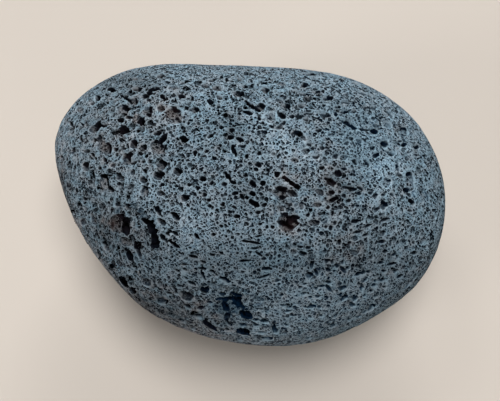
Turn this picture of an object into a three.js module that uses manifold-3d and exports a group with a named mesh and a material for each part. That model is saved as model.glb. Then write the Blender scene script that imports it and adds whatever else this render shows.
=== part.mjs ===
// A cobble of lava rock: grey vesicular basalt, worn round by water or tumbling. It formed as one piece, so
// it is one solid: a rounded stone whose skin is broken by the gas bubbles that were caught when the lava set.
// Millimetres, +Z up. The origin is on the surface that the stone lies on, under the middle of its box.

import * as THREE from "three";
import { mergeVertices } from "three/addons/utils/BufferGeometryUtils.js";
import Module from "manifold-3d";

// The stone's half widths at its widest level, every 22.5 degrees from +X, the blunt end, towards +Y.
const HALF_WIDTHS = [59, 58.5, 53.5, 47, 44.5, 49, 61.5, 67, 57.5, 49.5, 46, 43.5, 43.5, 46.5, 50.5, 56.5];
const TOP_RISE = 34; // from the widest level up to the top
const UNDER_DROP = 27; // from the widest level down to the underside, before wear
const WORN_OFF = 1.3; // how much wear took off the underside, which gives the flat that the stone rests on
const TOP_FULLNESS = 0.88; // 1 is an ellipsoid, and less is fuller
const UNDER_FULLNESS = 0.95;
const SKIN_DETAIL = 10; // the unbroken skin has 20 * (SKIN_DETAIL + 1)^2 facets

// Broad faces that wear has planed on the round stone: the way each faces, as a compass angle from +X and a
// height angle in degrees, and how much was taken off there, in millimetres.
const WORN_FACES = [
  { compass: 262, height: 40, taken: 2.6 },
  { compass: 312, height: 46, taken: 2.4 },
  { compass: 216, height: 34, taken: 1.6 },
  { compass: 20, height: 55, taken: 1.2 },
  { compass: 118, height: 58, taken: 1.5 },
  { compass: 170, height: 50, taken: 1.3 },
  { compass: 60, height: -28, taken: 2.4 },
  { compass: 128, height: -40, taken: 2.8 },
  { compass: 196, height: -34, taken: 2.2 },
  { compass: 248, height: -52, taken: 2.4 },
  { compass: 300, height: -42, taken: 2.6 },
  { compass: 352, height: -38, taken: 2.4 },
];
const FACE_SOFTNESS = 1.6; // how gently a worn face runs into the skin round it

// Low swells (+) and hollows (-): where they are, their reach in degrees and how far they stand out.
const SWELLS = [
  { compass: 205, height: 62, reach: 16, rise: 0.8 },
  { compass: 20, height: 66, reach: 13, rise: 0.7 },
  { compass: 300, height: 66, reach: 12, rise: -0.7 },
  { compass: 345, height: 40, reach: 14, rise: -0.8 },
  { compass: 60, height: 48, reach: 15, rise: -0.8 },
  { compass: 150, height: -12, reach: 18, rise: 1.0 },
  { compass: 100, height: 4, reach: 14, rise: -0.8 },
  { compass: 30, height: -22, reach: 16, rise: -0.9 },
];

// Where the stone is looked at from to place the pits of its top and front, which were measured by eye.
const VIEW_ELEVATION = 65;
const VIEW_DISTANCE = 235;
const VIEW_TARGET = new THREE.Vector3(1.2, -0.4, 28);

// Each seen pit is [right, up, long, wide, turn, deep]: how far its mouth shows to the right of and above the
// target, the mouth's length and width, its length's turn (0 to the right, 90 upwards) and how deep it goes.
const SEEN_PITS = {
  dishes: [
    [-35, -10.5, 17, 9, -60, 1.3],
    [-8, -31, 19, 8, -10, 1.2],
    [10.5, -5, 11, 7, 80, 1],
    [34, 23, 12, 5, -12, 1],
    [-38, 25, 14, 9, 60, 0.8],
    [48, 3, 10, 5, -65, 0.9],
  ],
  shoulder: [
    [-42.5, 33.5, 4, 2, -10, 2],
    [-34.5, 34, 3, 1.5, 0, 1.5],
    [-29, 34, 4, 2, 20, 2],
    [-36, 30.5, 3, 2, 0, 1.5],
    [-47, 31.5, 2.5, 2, 45, 1.5],
    [-39, 28, 3.5, 3, 0, 1.5],
    [-31.5, 27.5, 3.5, 3, 90, 1.5],
    [-23.5, 26, 5, 4.5, 0, 1],
    [-33, 24, 2.5, 2.5, 0, 3],
    [-38.5, 21.5, 3, 3, 60, 2.5],
    [-47, 22.5, 3.5, 2.5, 60, 2.5],
    [-26.5, 19, 4, 2, 60, 2.5],
    [-28.5, 16, 4.5, 3.5, -50, 2],
    [-36, 17, 2.5, 2, -60, 2],
    [-45, 16, 4, 4, 0, 1.5],
    [-20, 18.5, 2.5, 2.5, -45, 2],
    [-37.5, 13, 4, 2.5, 60, 2.5],
    [-27, 11, 2.5, 2.5, 0, 2],
    [-27.5, 8, 3, 2.5, 0, 2.5],
    [-22, 9, 2.5, 2.5, 0, 2],
    [-50.5, 10, 3, 2, 80, 2],
    [-45, 5, 6, 2.5, -85, 2],
    [-40.5, 7, 2.5, 2, -45, 1.5],
  ],
  crest: [
    [-2, 32, 4, 3, -20, 1.5],
    [1.5, 29, 5, 2.5, -25, 2.5],
    [18, 34.5, 7, 2.5, -15, 1.5],
    [11.5, 29, 2.5, 2, 0, 2],
    [24, 31.5, 2.5, 1.5, 0, 1.5],
    [32.5, 23.5, 8, 2.5, -10, 2],
    [14.5, 20.5, 4, 2.5, -20, 1.5],
    [44, 14.5, 2.5, 1.5, -20, 1.5],
    [50, 6.5, 3.5, 2, -75, 1.5],
    [48.5, 1.5, 5, 2.5, -60, 2],
    [54, 0, 3.5, 2, -70, 1.5],
    [11, 3.5, 6, 4, -10, 1.5],
    [32, 3.5, 4.5, 2.5, -10, 1.5],
    [23, 5.5, 6, 3.5, -20, 1],
    [-4.5, 15, 3, 2, -70, 1.5],
  ],
  bluntEnd: [
    [11.5, -7, 5.5, 4.5, -10, 2],
    [9.5, -3, 3, 2.5, 0, 1.5],
    [32.5, -6, 3, 2, -10, 1.5],
    [42, -2, 2.5, 2, 45, 1.5],
    [35, -27, 2.5, 2.5, 0, 1.5],
    [18.5, -23, 2.5, 2.5, 0, 1.5],
  ],
  front: [
    [-39, -7.5, 4.5, 3.5, -60, 3],
    [-31, -10, 8, 4, -65, 4.5],
    [-37.5, -16, 4, 2, -60, 3],
    [-34.5, -15, 4, 1.5, -70, 2],
    [-38, -11.5, 3, 2.5, -30, 1.5],
    [-51, -6.5, 2.5, 2, -60, 2],
    [-23, -5, 2.5, 2, -40, 1.5],
    [-13.5, -27.5, 2.5, 2.5, 0, 2.5],
    [-8, -24.5, 4, 1.5, -10, 2],
    [-6.5, -31.5, 8, 3.5, -5, 4],
    [-1, -35.5, 3.5, 2, -15, 2.5],
    [-19, -29.5, 4.5, 2.5, -20, 2],
    [-27, -31, 3.5, 2, -10, 2],
    [-3, -41, 3.5, 1.5, -10, 2],
    [8, -40.5, 2.5, 2, -50, 2],
    [3, -31, 4, 2.5, 0, 1.5],
    [-12.5, -39, 5.5, 2.5, -35, 2],
    [-38.5, -25.5, 4, 2.5, -50, 2.5],
    [-27, -35, 3.5, 2.5, -30, 1.5],
  ],
};

// The sides, the back and the underside have like pits, scattered by a seeded draw.
const SCATTER_SEED = 20;
const SCATTER_TRIES = 1200;
const SCATTER_MOST = 64;
const SCATTER_MOUTH = [2.6, 6]; // the least and the greatest length of a mouth
const SCATTER_SLIMNESS = [0.65, 1]; // a mouth's width as a share of its length
const SCATTER_DEPTH = [0.32, 0.5]; // as a share of the mouth's length
const WALL_BETWEEN = 2.4; // the least stone left between two scattered pits
const REST_POINT = new THREE.Vector3(0, 0, 0); // a spot on the worn flat that stays whole
const REST_CLEARANCE = 7;

const SINK = 0.35; // how far a bubble's middle lies below the skin, as a share of its half depth
const SLANT_LIMIT = 1.8; // how much a mouth on a steep flank may be longer than it looks
const SLIVER = 0.05; // facets thinner than this are joined to the next one
const BIG_MOUTH = 4.4; // mouths from this length on are cut with a finer ball
const FINE_BALL = 1;
const COARSE_BALL = 0;

const wasm = await Module();
wasm.setup();

// A smooth closed curve through the half widths, read at any angle round the stone.
function halfWidth(angle) {
  const count = HALF_WIDTHS.length;
  const at = ((angle / (2 * Math.PI)) * count + count) % count;
  const first = Math.floor(at);
  const near = [-1, 0, 1, 2].map((step) => (first + step + count) % count);
  const [before, here, next, after] = near.map((index) => HALF_WIDTHS[index]);
  const t = at - first;
  const bend = 2 * before - 5 * here + 4 * next - after;
  const twist = 3 * (here - next) + after - before;
  return here + 0.5 * t * (next - before + t * (bend + t * twist));
}

// The unit vector with a compass angle, from +X towards +Y, and a height angle, both in degrees.
function direction(compass, height) {
  const round = THREE.MathUtils.degToRad(compass);
  const rise = THREE.MathUtils.degToRad(height);
  const level = Math.cos(rise);
  return new THREE.Vector3(level * Math.cos(round), level * Math.sin(round), Math.sin(rise));
}

// How far the broad swells and hollows lift the skin in a direction.
function swell(towards) {
  let rise = 0;
  for (const each of SWELLS) {
    const middle = direction(each.compass, each.height);
    const away = THREE.MathUtils.radToDeg(towards.angleTo(middle)) / each.reach;
    rise += each.rise * Math.exp(-away * away);
  }
  return rise;
}

// Where a direction from the stone's middle meets its unbroken skin.
function skinPoint(towards) {
  const across = Math.hypot(towards.x, towards.y);
  const compass = Math.atan2(towards.y, towards.x);
  const upward = towards.z >= 0;
  const fullness = upward ? TOP_FULLNESS : UNDER_FULLNESS;
  const reach = halfWidth(compass) * across ** fullness;
  const height = Math.abs(towards.z) ** fullness;
  const point = new THREE.Vector3(
    reach * Math.cos(compass),
    reach * Math.sin(compass),
    upward ? TOP_RISE * height : -UNDER_DROP * height,
  );
  return point.addScaledVector(towards, swell(towards));
}

// Planes a worn face on the skin's points, with a soft border.
function planeFace(points, { compass, height, taken }) {
  const facing = direction(compass, height);
  const limit = Math.max(...points.map((point) => point.dot(facing))) - taken;
  for (const point of points) {
    const over = point.dot(facing) - limit;
    point.addScaledVector(facing, -(over + Math.hypot(over, FACE_SOFTNESS)) / 2);
  }
}

// The unbroken skin, moved so that its worn underside lies at z = 0 and its box is centred on the origin.
function skinGeometry() {
  const ball = new THREE.IcosahedronGeometry(1, SKIN_DETAIL);
  const place = ball.getAttribute("position");
  const points = [];
  for (let i = 0; i < place.count; i += 1) {
    points.push(skinPoint(new THREE.Vector3().fromBufferAttribute(place, i).normalize()));
  }
  for (const face of WORN_FACES) {
    planeFace(points, face);
  }
  ball.setFromPoints(points);
  ball.computeBoundingBox();
  const middle = ball.boundingBox.getCenter(new THREE.Vector3());
  ball.translate(-middle.x, -middle.y, -ball.boundingBox.min.z - WORN_OFF);
  ball.computeBoundingSphere();
  return ball;
}

function toSolid(geometry) {
  const bare = new THREE.BufferGeometry();
  bare.setAttribute("position", geometry.getAttribute("position"));
  bare.setIndex(geometry.index);
  const merged = mergeVertices(bare);
  const vertProperties = merged.getAttribute("position").array;
  const triVerts = new Uint32Array(merged.index.array);
  return new wasm.Manifold(new wasm.Mesh({ numProp: 3, vertProperties, triVerts }));
}

function toGeometry(solid) {
  const mesh = solid.getMesh();
  const geometry = new THREE.BufferGeometry();
  geometry.setAttribute("position", new THREE.BufferAttribute(mesh.vertProperties, 3));
  geometry.setIndex(new THREE.BufferAttribute(mesh.triVerts, 1));
  const flat = geometry.toNonIndexed();
  flat.computeVertexNormals();
  return flat;
}

// A gas bubble that opens on the skin at a point: a ball stretched so that it meets the skin in the wanted
// mouth. halfLong and halfWide lie in the skin, and the normal points out of the stone.
function bubble(point, halfLong, halfWide, normal, deep) {
  const spread = 1 / Math.sqrt(1 - SINK * SINK);
  const halfDeep = deep / (1 + SINK);
  const radius = halfLong.length();
  const ball = new THREE.IcosahedronGeometry(1, 2 * radius < BIG_MOUTH ? COARSE_BALL : FINE_BALL);
  const shape = new THREE.Matrix4().makeBasis(
    halfLong.clone().multiplyScalar(spread),
    halfWide.clone().multiplyScalar(spread),
    normal.clone().multiplyScalar(halfDeep),
  );
  shape.setPosition(point.clone().addScaledVector(normal, -SINK * halfDeep));
  return { point, radius, solid: toSolid(ball.applyMatrix4(shape)) };
}

// Slides a vector that is seen square on along the line of sight, until it lies in the skin.
function layOnSkin(seen, sight, normal) {
  const laid = seen.clone().addScaledVector(sight, -seen.dot(normal) / sight.dot(normal));
  const longest = seen.length() * SLANT_LIMIT;
  return laid.length() > longest ? laid.setLength(longest) : laid;
}

const skin = new THREE.Mesh(skinGeometry(), new THREE.MeshBasicMaterial());
const ray = new THREE.Raycaster();

function seenBubbles() {
  const toViewer = direction(-90, VIEW_ELEVATION);
  const viewer = VIEW_TARGET.clone().addScaledVector(toViewer, VIEW_DISTANCE);
  const right = new THREE.Vector3(1, 0, 0);
  const up = new THREE.Vector3().crossVectors(toViewer, right);
  return Object.values(SEEN_PITS)
    .flat()
    .map(([toRight, toUp, long, wide, turn, deep]) => {
      const aim = VIEW_TARGET.clone().addScaledVector(right, toRight).addScaledVector(up, toUp);
      const sight = aim.sub(viewer).normalize();
      ray.set(viewer, sight);
      const [hit] = ray.intersectObject(skin);
      const turned = THREE.MathUtils.degToRad(turn);
      const along = right.clone().applyAxisAngle(toViewer, turned).multiplyScalar(long / 2);
      const beside = up.clone().applyAxisAngle(toViewer, turned).multiplyScalar(wide / 2);
      const { normal } = hit.face;
      const halfLong = layOnSkin(along, sight, normal);
      const halfWide = layOnSkin(beside, sight, normal);
      return bubble(hit.point, halfLong, halfWide, normal, deep);
    });
}

// A small seeded generator, so that the scattered pits are the same in every build.
function seededRandom(seed) {
  let state = seed;
  return () => {
    state = (Math.imul(state, 1664525) + 1013904223) >>> 0;
    return state / 2 ** 32;
  };
}

function scatteredBubbles(taken) {
  const random = seededRandom(SCATTER_SEED);
  const between = ([low, high], share) => low + (high - low) * share;
  const middle = skin.geometry.boundingBox.getCenter(new THREE.Vector3());
  const outside = 2 * skin.geometry.boundingSphere.radius;
  const made = [];
  for (let i = 0; i < SCATTER_TRIES && made.length < SCATTER_MOST; i += 1) {
    const height = THREE.MathUtils.radToDeg(Math.asin(2 * random() - 1));
    const towards = direction(360 * random(), height);
    const long = between(SCATTER_MOUTH, random() ** 2);
    const wide = long * between(SCATTER_SLIMNESS, random());
    const deep = long * between(SCATTER_DEPTH, random());
    const spin = Math.PI * random();
    ray.set(middle.clone().addScaledVector(towards, outside), towards.clone().negate());
    const [{ point, face }] = ray.intersectObject(skin);
    const near = (other) => other.point.distanceTo(point) < other.radius + long / 2 + WALL_BETWEEN;
    const inTheWay = [...taken, ...made].some(near) || point.distanceTo(REST_POINT) < REST_CLEARANCE + long;
    if (!inTheWay) {
      const level = new THREE.Vector3(0, 0, 1).cross(face.normal).normalize();
      const along = level.applyAxisAngle(face.normal, spin);
      const beside = new THREE.Vector3().crossVectors(face.normal, along);
      const halfLong = along.multiplyScalar(long / 2);
      const halfWide = beside.multiplyScalar(wide / 2);
      made.push(bubble(point, halfLong, halfWide, face.normal, deep));
    }
  }
  return made;
}

// What wear took off the underside: a slab that reaches up to the surface that the stone lies on.
function wornSlab() {
  const side = 4 * Math.max(...HALF_WIDTHS);
  const slab = new THREE.BoxGeometry(side, side, UNDER_DROP);
  slab.translate(0, 0, -UNDER_DROP / 2);
  return toSolid(slab);
}

const seen = seenBubbles();
const pits = [...seen, ...scatteredBubbles(seen)].map((pit) => pit.solid);
const broken = wasm.Manifold.difference([toSolid(skin.geometry), wornSlab(), ...pits]);

const stone = new THREE.Group();
const rock = new THREE.Mesh(
  toGeometry(broken.asOriginal().simplify(SLIVER)),
  new THREE.MeshStandardMaterial({ color: 0x5c6a74, roughness: 0.95, metalness: 0 }),
);
rock.name = "lava_rock";
stone.add(rock);

export default stone;
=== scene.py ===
# %% [markdown]
# A cobble of lava rock. Lava that still holds gas sets as a froth: round bubbles of every size, from a few
# millimetres across down to specks, with thin walls of dark basalt between them. Water then wore this lump
# round, so its surface is a smooth egg that cuts through the froth. Each bubble that the surface cuts is
# open as a pit.
#
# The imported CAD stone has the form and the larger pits. Here it gets its real skin: a fine closed mesh,
# wrapped on the CAD form, into which every pit and pore down to about a millimetre is really cut, and a
# material that carries the same bubbles on down to the specks.

# %% Load the frame
import math

import bpy
import numpy as np
from mathutils import Matrix, Vector


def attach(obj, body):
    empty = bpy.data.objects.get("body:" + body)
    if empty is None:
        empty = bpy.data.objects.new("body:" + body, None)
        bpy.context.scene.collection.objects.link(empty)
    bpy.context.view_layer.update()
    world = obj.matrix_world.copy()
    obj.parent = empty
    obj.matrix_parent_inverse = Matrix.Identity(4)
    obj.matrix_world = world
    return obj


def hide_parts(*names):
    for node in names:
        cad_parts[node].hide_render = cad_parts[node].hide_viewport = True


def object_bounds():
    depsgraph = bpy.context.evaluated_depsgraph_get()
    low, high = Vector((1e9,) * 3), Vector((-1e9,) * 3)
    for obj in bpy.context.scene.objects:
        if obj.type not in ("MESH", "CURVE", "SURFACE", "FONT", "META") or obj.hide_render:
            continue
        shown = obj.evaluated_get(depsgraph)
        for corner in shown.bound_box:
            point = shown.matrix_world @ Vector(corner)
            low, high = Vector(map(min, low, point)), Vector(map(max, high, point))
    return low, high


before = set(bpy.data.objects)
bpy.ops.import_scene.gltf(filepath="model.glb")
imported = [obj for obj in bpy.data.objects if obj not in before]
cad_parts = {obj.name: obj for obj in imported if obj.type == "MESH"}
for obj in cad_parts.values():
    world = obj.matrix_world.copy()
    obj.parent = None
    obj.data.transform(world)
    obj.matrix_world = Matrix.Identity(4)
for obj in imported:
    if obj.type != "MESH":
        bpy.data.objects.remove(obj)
cad_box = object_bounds()
cad_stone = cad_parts["lava_rock"]
MM = 0.001
length, width, height = (cad_box[1] - cad_box[0]) / MM
print(f"CAD stone: {length:.1f} x {width:.1f} x {height:.1f} mm")

# %% [markdown]
# The camera comes first, because the pits were measured from where it stands. It looks down on the
# stone from the front at a steep angle, from about two stone's lengths away.

# %% Camera
VIEW_ELEVATION = math.radians(65)
VIEW_DISTANCE = 235 * MM
VIEW_TARGET = Vector((1.2, -0.4, 28)) * MM
LENS = 55  # millimetres, on a sensor 36 mm wide

to_viewer = Vector((0, -math.cos(VIEW_ELEVATION), math.sin(VIEW_ELEVATION)))
viewer = VIEW_TARGET + to_viewer * VIEW_DISTANCE
seen_right = Vector((1, 0, 0))
seen_up = to_viewer.cross(seen_right)

camera_data = bpy.data.cameras.new("camera")
camera_data.lens = LENS
camera_data.clip_start = 0.01
camera = bpy.data.objects.new("camera", camera_data)
camera.location = viewer
camera.rotation_euler = (-to_viewer).to_track_quat("-Z", "Y").to_euler()
bpy.context.collection.objects.link(camera)
bpy.context.scene.camera = camera
print("camera at", [round(c / MM) for c in viewer], "mm")

# %% [markdown]
# The skin before any bubble broke it. The CAD stone is round all over apart from its pits, so its convex
# hull is the stone with every pit filled in. The hull is still faceted, so a finer ball is wrapped on it
# and smoothed. Shrinkwrap pulls each point of the ball to the nearest place on the hull, and the Smooth
# modifier then evens out the facets. Sculpting the egg from a sphere would work too, but would drift from
# the CAD form.


# %% Helpers for making a piece by hand
def only(piece):
    """Selects one object alone, as a click on it does."""
    bpy.ops.object.select_all(action="DESELECT")
    piece.select_set(True)
    bpy.context.view_layer.objects.active = piece


def apply_modifier(piece, kind, **settings):
    """Adds a modifier, sets it up and applies it."""
    only(piece)
    modifier = piece.modifiers.new(kind.lower(), kind)
    for name, value in settings.items():
        setattr(modifier, name, value)
    bpy.ops.object.modifier_apply(modifier=modifier.name)


BALL_SHARE = 0.54  # the ball's half widths as a share of the stone's widths: half, and a little more


def ball_round_the_stone(name, subdivisions):
    """A ball of fine triangles, a little larger than the stone."""
    bpy.ops.object.select_all(action="DESELECT")
    middle = (cad_box[0] + cad_box[1]) / 2
    bpy.ops.mesh.primitive_ico_sphere_add(subdivisions=subdivisions, radius=1, location=middle)
    ball = bpy.context.object
    ball.name = name
    ball.scale = (cad_box[1] - cad_box[0]) * BALL_SHARE
    bpy.ops.object.transform_apply(location=True, rotation=True, scale=True)
    return ball


# %% The unbroken skin
SMOOTHING = 0.5
SMOOTHING_ROUNDS = 25
SKIN_FINENESS = 7  # subdivisions of the smoothed ball

hull = bpy.data.objects.new("hull", cad_stone.data.copy())
bpy.context.collection.objects.link(hull)
only(hull)
bpy.ops.object.mode_set(mode="EDIT")
bpy.ops.mesh.select_all(action="SELECT")
bpy.ops.mesh.convex_hull()
bpy.ops.object.mode_set(mode="OBJECT")

skin = ball_round_the_stone("skin", SKIN_FINENESS)
apply_modifier(skin, "SHRINKWRAP", target=hull, wrap_method="NEAREST_SURFACEPOINT")
apply_modifier(skin, "SMOOTH", factor=SMOOTHING, iterations=SMOOTHING_ROUNDS)
print(f"hull {len(hull.data.polygons)} faces, smoothed skin {len(skin.data.polygons)} faces")

# %% [markdown]
# The larger pits. Each is where a big bubble was cut open. Their places were measured from the camera's
# place: how far the mouth shows right of and above the point that the camera looks at, the mouth's length
# and width, how its length is turned, and how deep it goes, all in millimetres and degrees. The first few
# are broad, shallow dishes. They lower the skin, and the pits lie in them.

# %% Broad dishes
DISHES = [
    (-35, -10.5, 17, 9, -60, 1.3),
    (-8, -31, 19, 8, -10, 1.2),
    (10.5, -5, 11, 7, 80, 1.0),
    (34, 23, 12, 5, -12, 1.0),
    (-38, 25, 14, 9, 60, 0.8),
    (48, 3, 10, 5, -65, 0.9),
    (9.8, -15.4, 7, 4, 0, 0.5),
    (33, 1.5, 7, 4, 0, 0.6),
]
print(f"{len(DISHES)} dishes")

# %% [markdown]
# The narrow end, at the left, is the frothiest part. Its bubbles are wide and lie close together, so that
# the walls between them are thin.

# %% Pits of the narrow end
SHOULDER_PITS = [
    (-42.6, 34.1, 2.8, 1.7, -15, 2.8),
    (-44, 32.6, 1.8, 0.8, -10, 2.2),
    (-38.8, 32.2, 2.9, 1, -10, 2.2),
    (-36.2, 30.7, 3.2, 1.9, 5, 1.3),
    (-38, 31.4, 1.8, 0.8, -10, 2.2),
    (-34.8, 34.4, 3.2, 1.5, 0, 1.7),
    (-29.4, 34.4, 4, 1.3, 3, 2.8),
    (-30.9, 33.2, 1.7, 1.8, 20, 2.6),
    (-32.4, 32.2, 2.5, 1.4, -5, 2),
    (-27.1, 32.1, 1.5, 1.4, 0, 2.4),
    (-21.1, 32.2, 2.1, 1.3, 0, 2.4),
    (-20, 36.6, 2.8, 1.2, 12, 2),
    (-27.6, 38.4, 2.6, 1.3, 0, 1.4),
    (-25.8, 39.8, 1.6, 0.9, 0, 1.4),
    (-34.5, 40.4, 2, 0.9, 20, 1.6),
    (-35.1, 37.4, 1.8, 0.9, 0, 1.3),
    (-39.7, 37.8, 1.2, 0.7, 10, 1.4),
    (-31.1, 35.5, 1.4, 0.8, 0, 1.8),
    (-23.7, 34.9, 2.8, 1.6, 0, 0.9),
    (-19.7, 28.6, 1.4, 1.2, 0, 1.9),
    (-38.9, 28.1, 3.4, 2.9, 0, 1.3),
    (-38.4, 28.5, 1.6, 1.7, 0, 2.8),
    (-31.7, 27.8, 3.6, 3, 90, 1.3),
    (-31.2, 26.9, 1.5, 1.5, 0, 2.8),
    (-27.5, 28.5, 2.3, 2.3, 0, 1),
    (-23.8, 26, 5.2, 4.8, 0, 1),
    (-23.4, 28.6, 1.6, 1, 0, 2.2),
    (-22.7, 25.6, 1.1, 0.9, 0, 1.9),
    (-17.2, 28, 2.6, 1.9, 0, 1.2),
    (-34.8, 25, 3.2, 2.6, -30, 1.1),
    (-33.3, 24.3, 2.3, 2.6, 0, 4),
    (-39.8, 24.6, 2.1, 1.4, 5, 2.6),
    (-40.6, 20.6, 3, 2.4, -30, 0.8),
    (-38.6, 21.7, 2.7, 2.6, 0, 3.6),
    (-48.3, 22.2, 2.6, 2.4, -20, 1.4),
    (-47.1, 22.9, 2, 3.2, -20, 3.4),
    (-47, 31.6, 2, 1.9, -20, 2.2),
    (-48.6, 30, 1.8, 1.2, 30, 1.2),
    (-47.8, 35.2, 1.8, 1, 45, 1.2),
    (-52.7, 28.1, 1.9, 2.2, 0, 0.9),
    (-55.2, 23.6, 1.9, 1.1, -60, 1.8),
    (-37.5, 25.6, 2, 1.2, 0, 1.6),
    (-45, 23.2, 1.8, 1, 0, 1.6),
    (-34.5, 21.4, 1.2, 1.2, 0, 2.4),
    (-28.6, 20.8, 2.4, 1.3, 10, 1.6),
    (-50.5, 23.5, 1.6, 0.8, 85, 1.6),
    (-26.8, 19, 3.6, 1.6, 50, 3.2),
    (-28.6, 16.4, 4.6, 3.4, -50, 1.4),
    (-26.4, 16.2, 2, 0.9, 60, 2.8),
    (-36, 17.4, 2.6, 2.1, -70, 1.6),
    (-35.4, 18, 1.8, 1.2, -60, 2.8),
    (-45, 16.2, 4.3, 3.8, 0, 1.3),
    (-43.4, 16, 3.2, 1.2, -85, 2.6),
    (-20.3, 18.8, 2.6, 2, -45, 2.8),
    (-38.2, 12.7, 3.8, 2.8, 60, 1.6),
    (-37.2, 13.8, 2.6, 1.7, 60, 3.4),
    (-27.4, 10.9, 3, 2.8, 0, 1.5),
    (-26.4, 11.6, 1.8, 1.2, -60, 3),
    (-28.1, 7.8, 3.3, 2.5, 0, 2.4),
    (-22.3, 8.9, 2.6, 2.4, 0, 1.8),
    (-32.4, 9.2, 1.3, 1.3, 0, 2.6),
    (-50.8, 10.3, 2.9, 2.1, 80, 2),
    (-45.2, 4.8, 5.6, 2.3, -85, 1),
    (-44.2, 5.8, 4.6, 1.1, -78, 3.4),
    (-45.4, 7.6, 1.9, 0.9, 5, 3),
    (-42.8, 3.3, 1.8, 1.4, -60, 2.8),
    (-40.3, 7.3, 2.7, 2.2, -45, 1.8),
    (-33, 6.4, 2.2, 1.8, 0, 1.6),
    (-32.7, 2.8, 3.2, 2.1, 90, 1.2),
    (-31.7, 2.4, 2.6, 0.7, 85, 2.2),
    (-27.8, 2.2, 2.2, 1.6, 0, 1.3),
    (-27.4, 4.8, 1.9, 1, 20, 2.2),
    (-41.4, 15.7, 1.3, 1.2, 0, 2.2),
    (-44.9, 12.5, 1.5, 1.4, 0, 2.4),
    (-46.4, 10, 1.2, 0.9, 0, 1.8),
    (-46.5, 19, 2.3, 1.8, -70, 1.4),
    (-48, 18.6, 1.1, 1.1, 0, 2),
    (-52.2, 19, 1.3, 1, -40, 2),
    (-48.6, 14.2, 1.3, 1, -40, 2.2),
    (-47.8, 13, 1.2, 0.9, -30, 2),
    (-54.6, 15.2, 2.2, 1.5, 80, 1.1),
    (-50.6, 15.2, 1.8, 1.2, 10, 1.4),
    (-35.8, 11.6, 2, 0.9, 10, 1.7),
    (-33, 12, 1.4, 1, 0, 1.5),
    (-31, 12, 1.3, 1.3, 0, 1.4),
    (-36.2, 8.7, 1.8, 1.6, 80, 1.3),
    (-51, 0.5, 1.5, 1.2, 20, 2.2),
    (-42.3, 10.8, 1.4, 1.4, 0, 1.1),
]
print(f"{len(SHOULDER_PITS)} pits on the narrow end")

# %% [markdown]
# The skin turns away over the crest at the back, so that a round mouth looks long and slim from the front.
# Such rows say what is seen, and a slim mouth becomes a wider one when it is laid on the skin.

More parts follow.
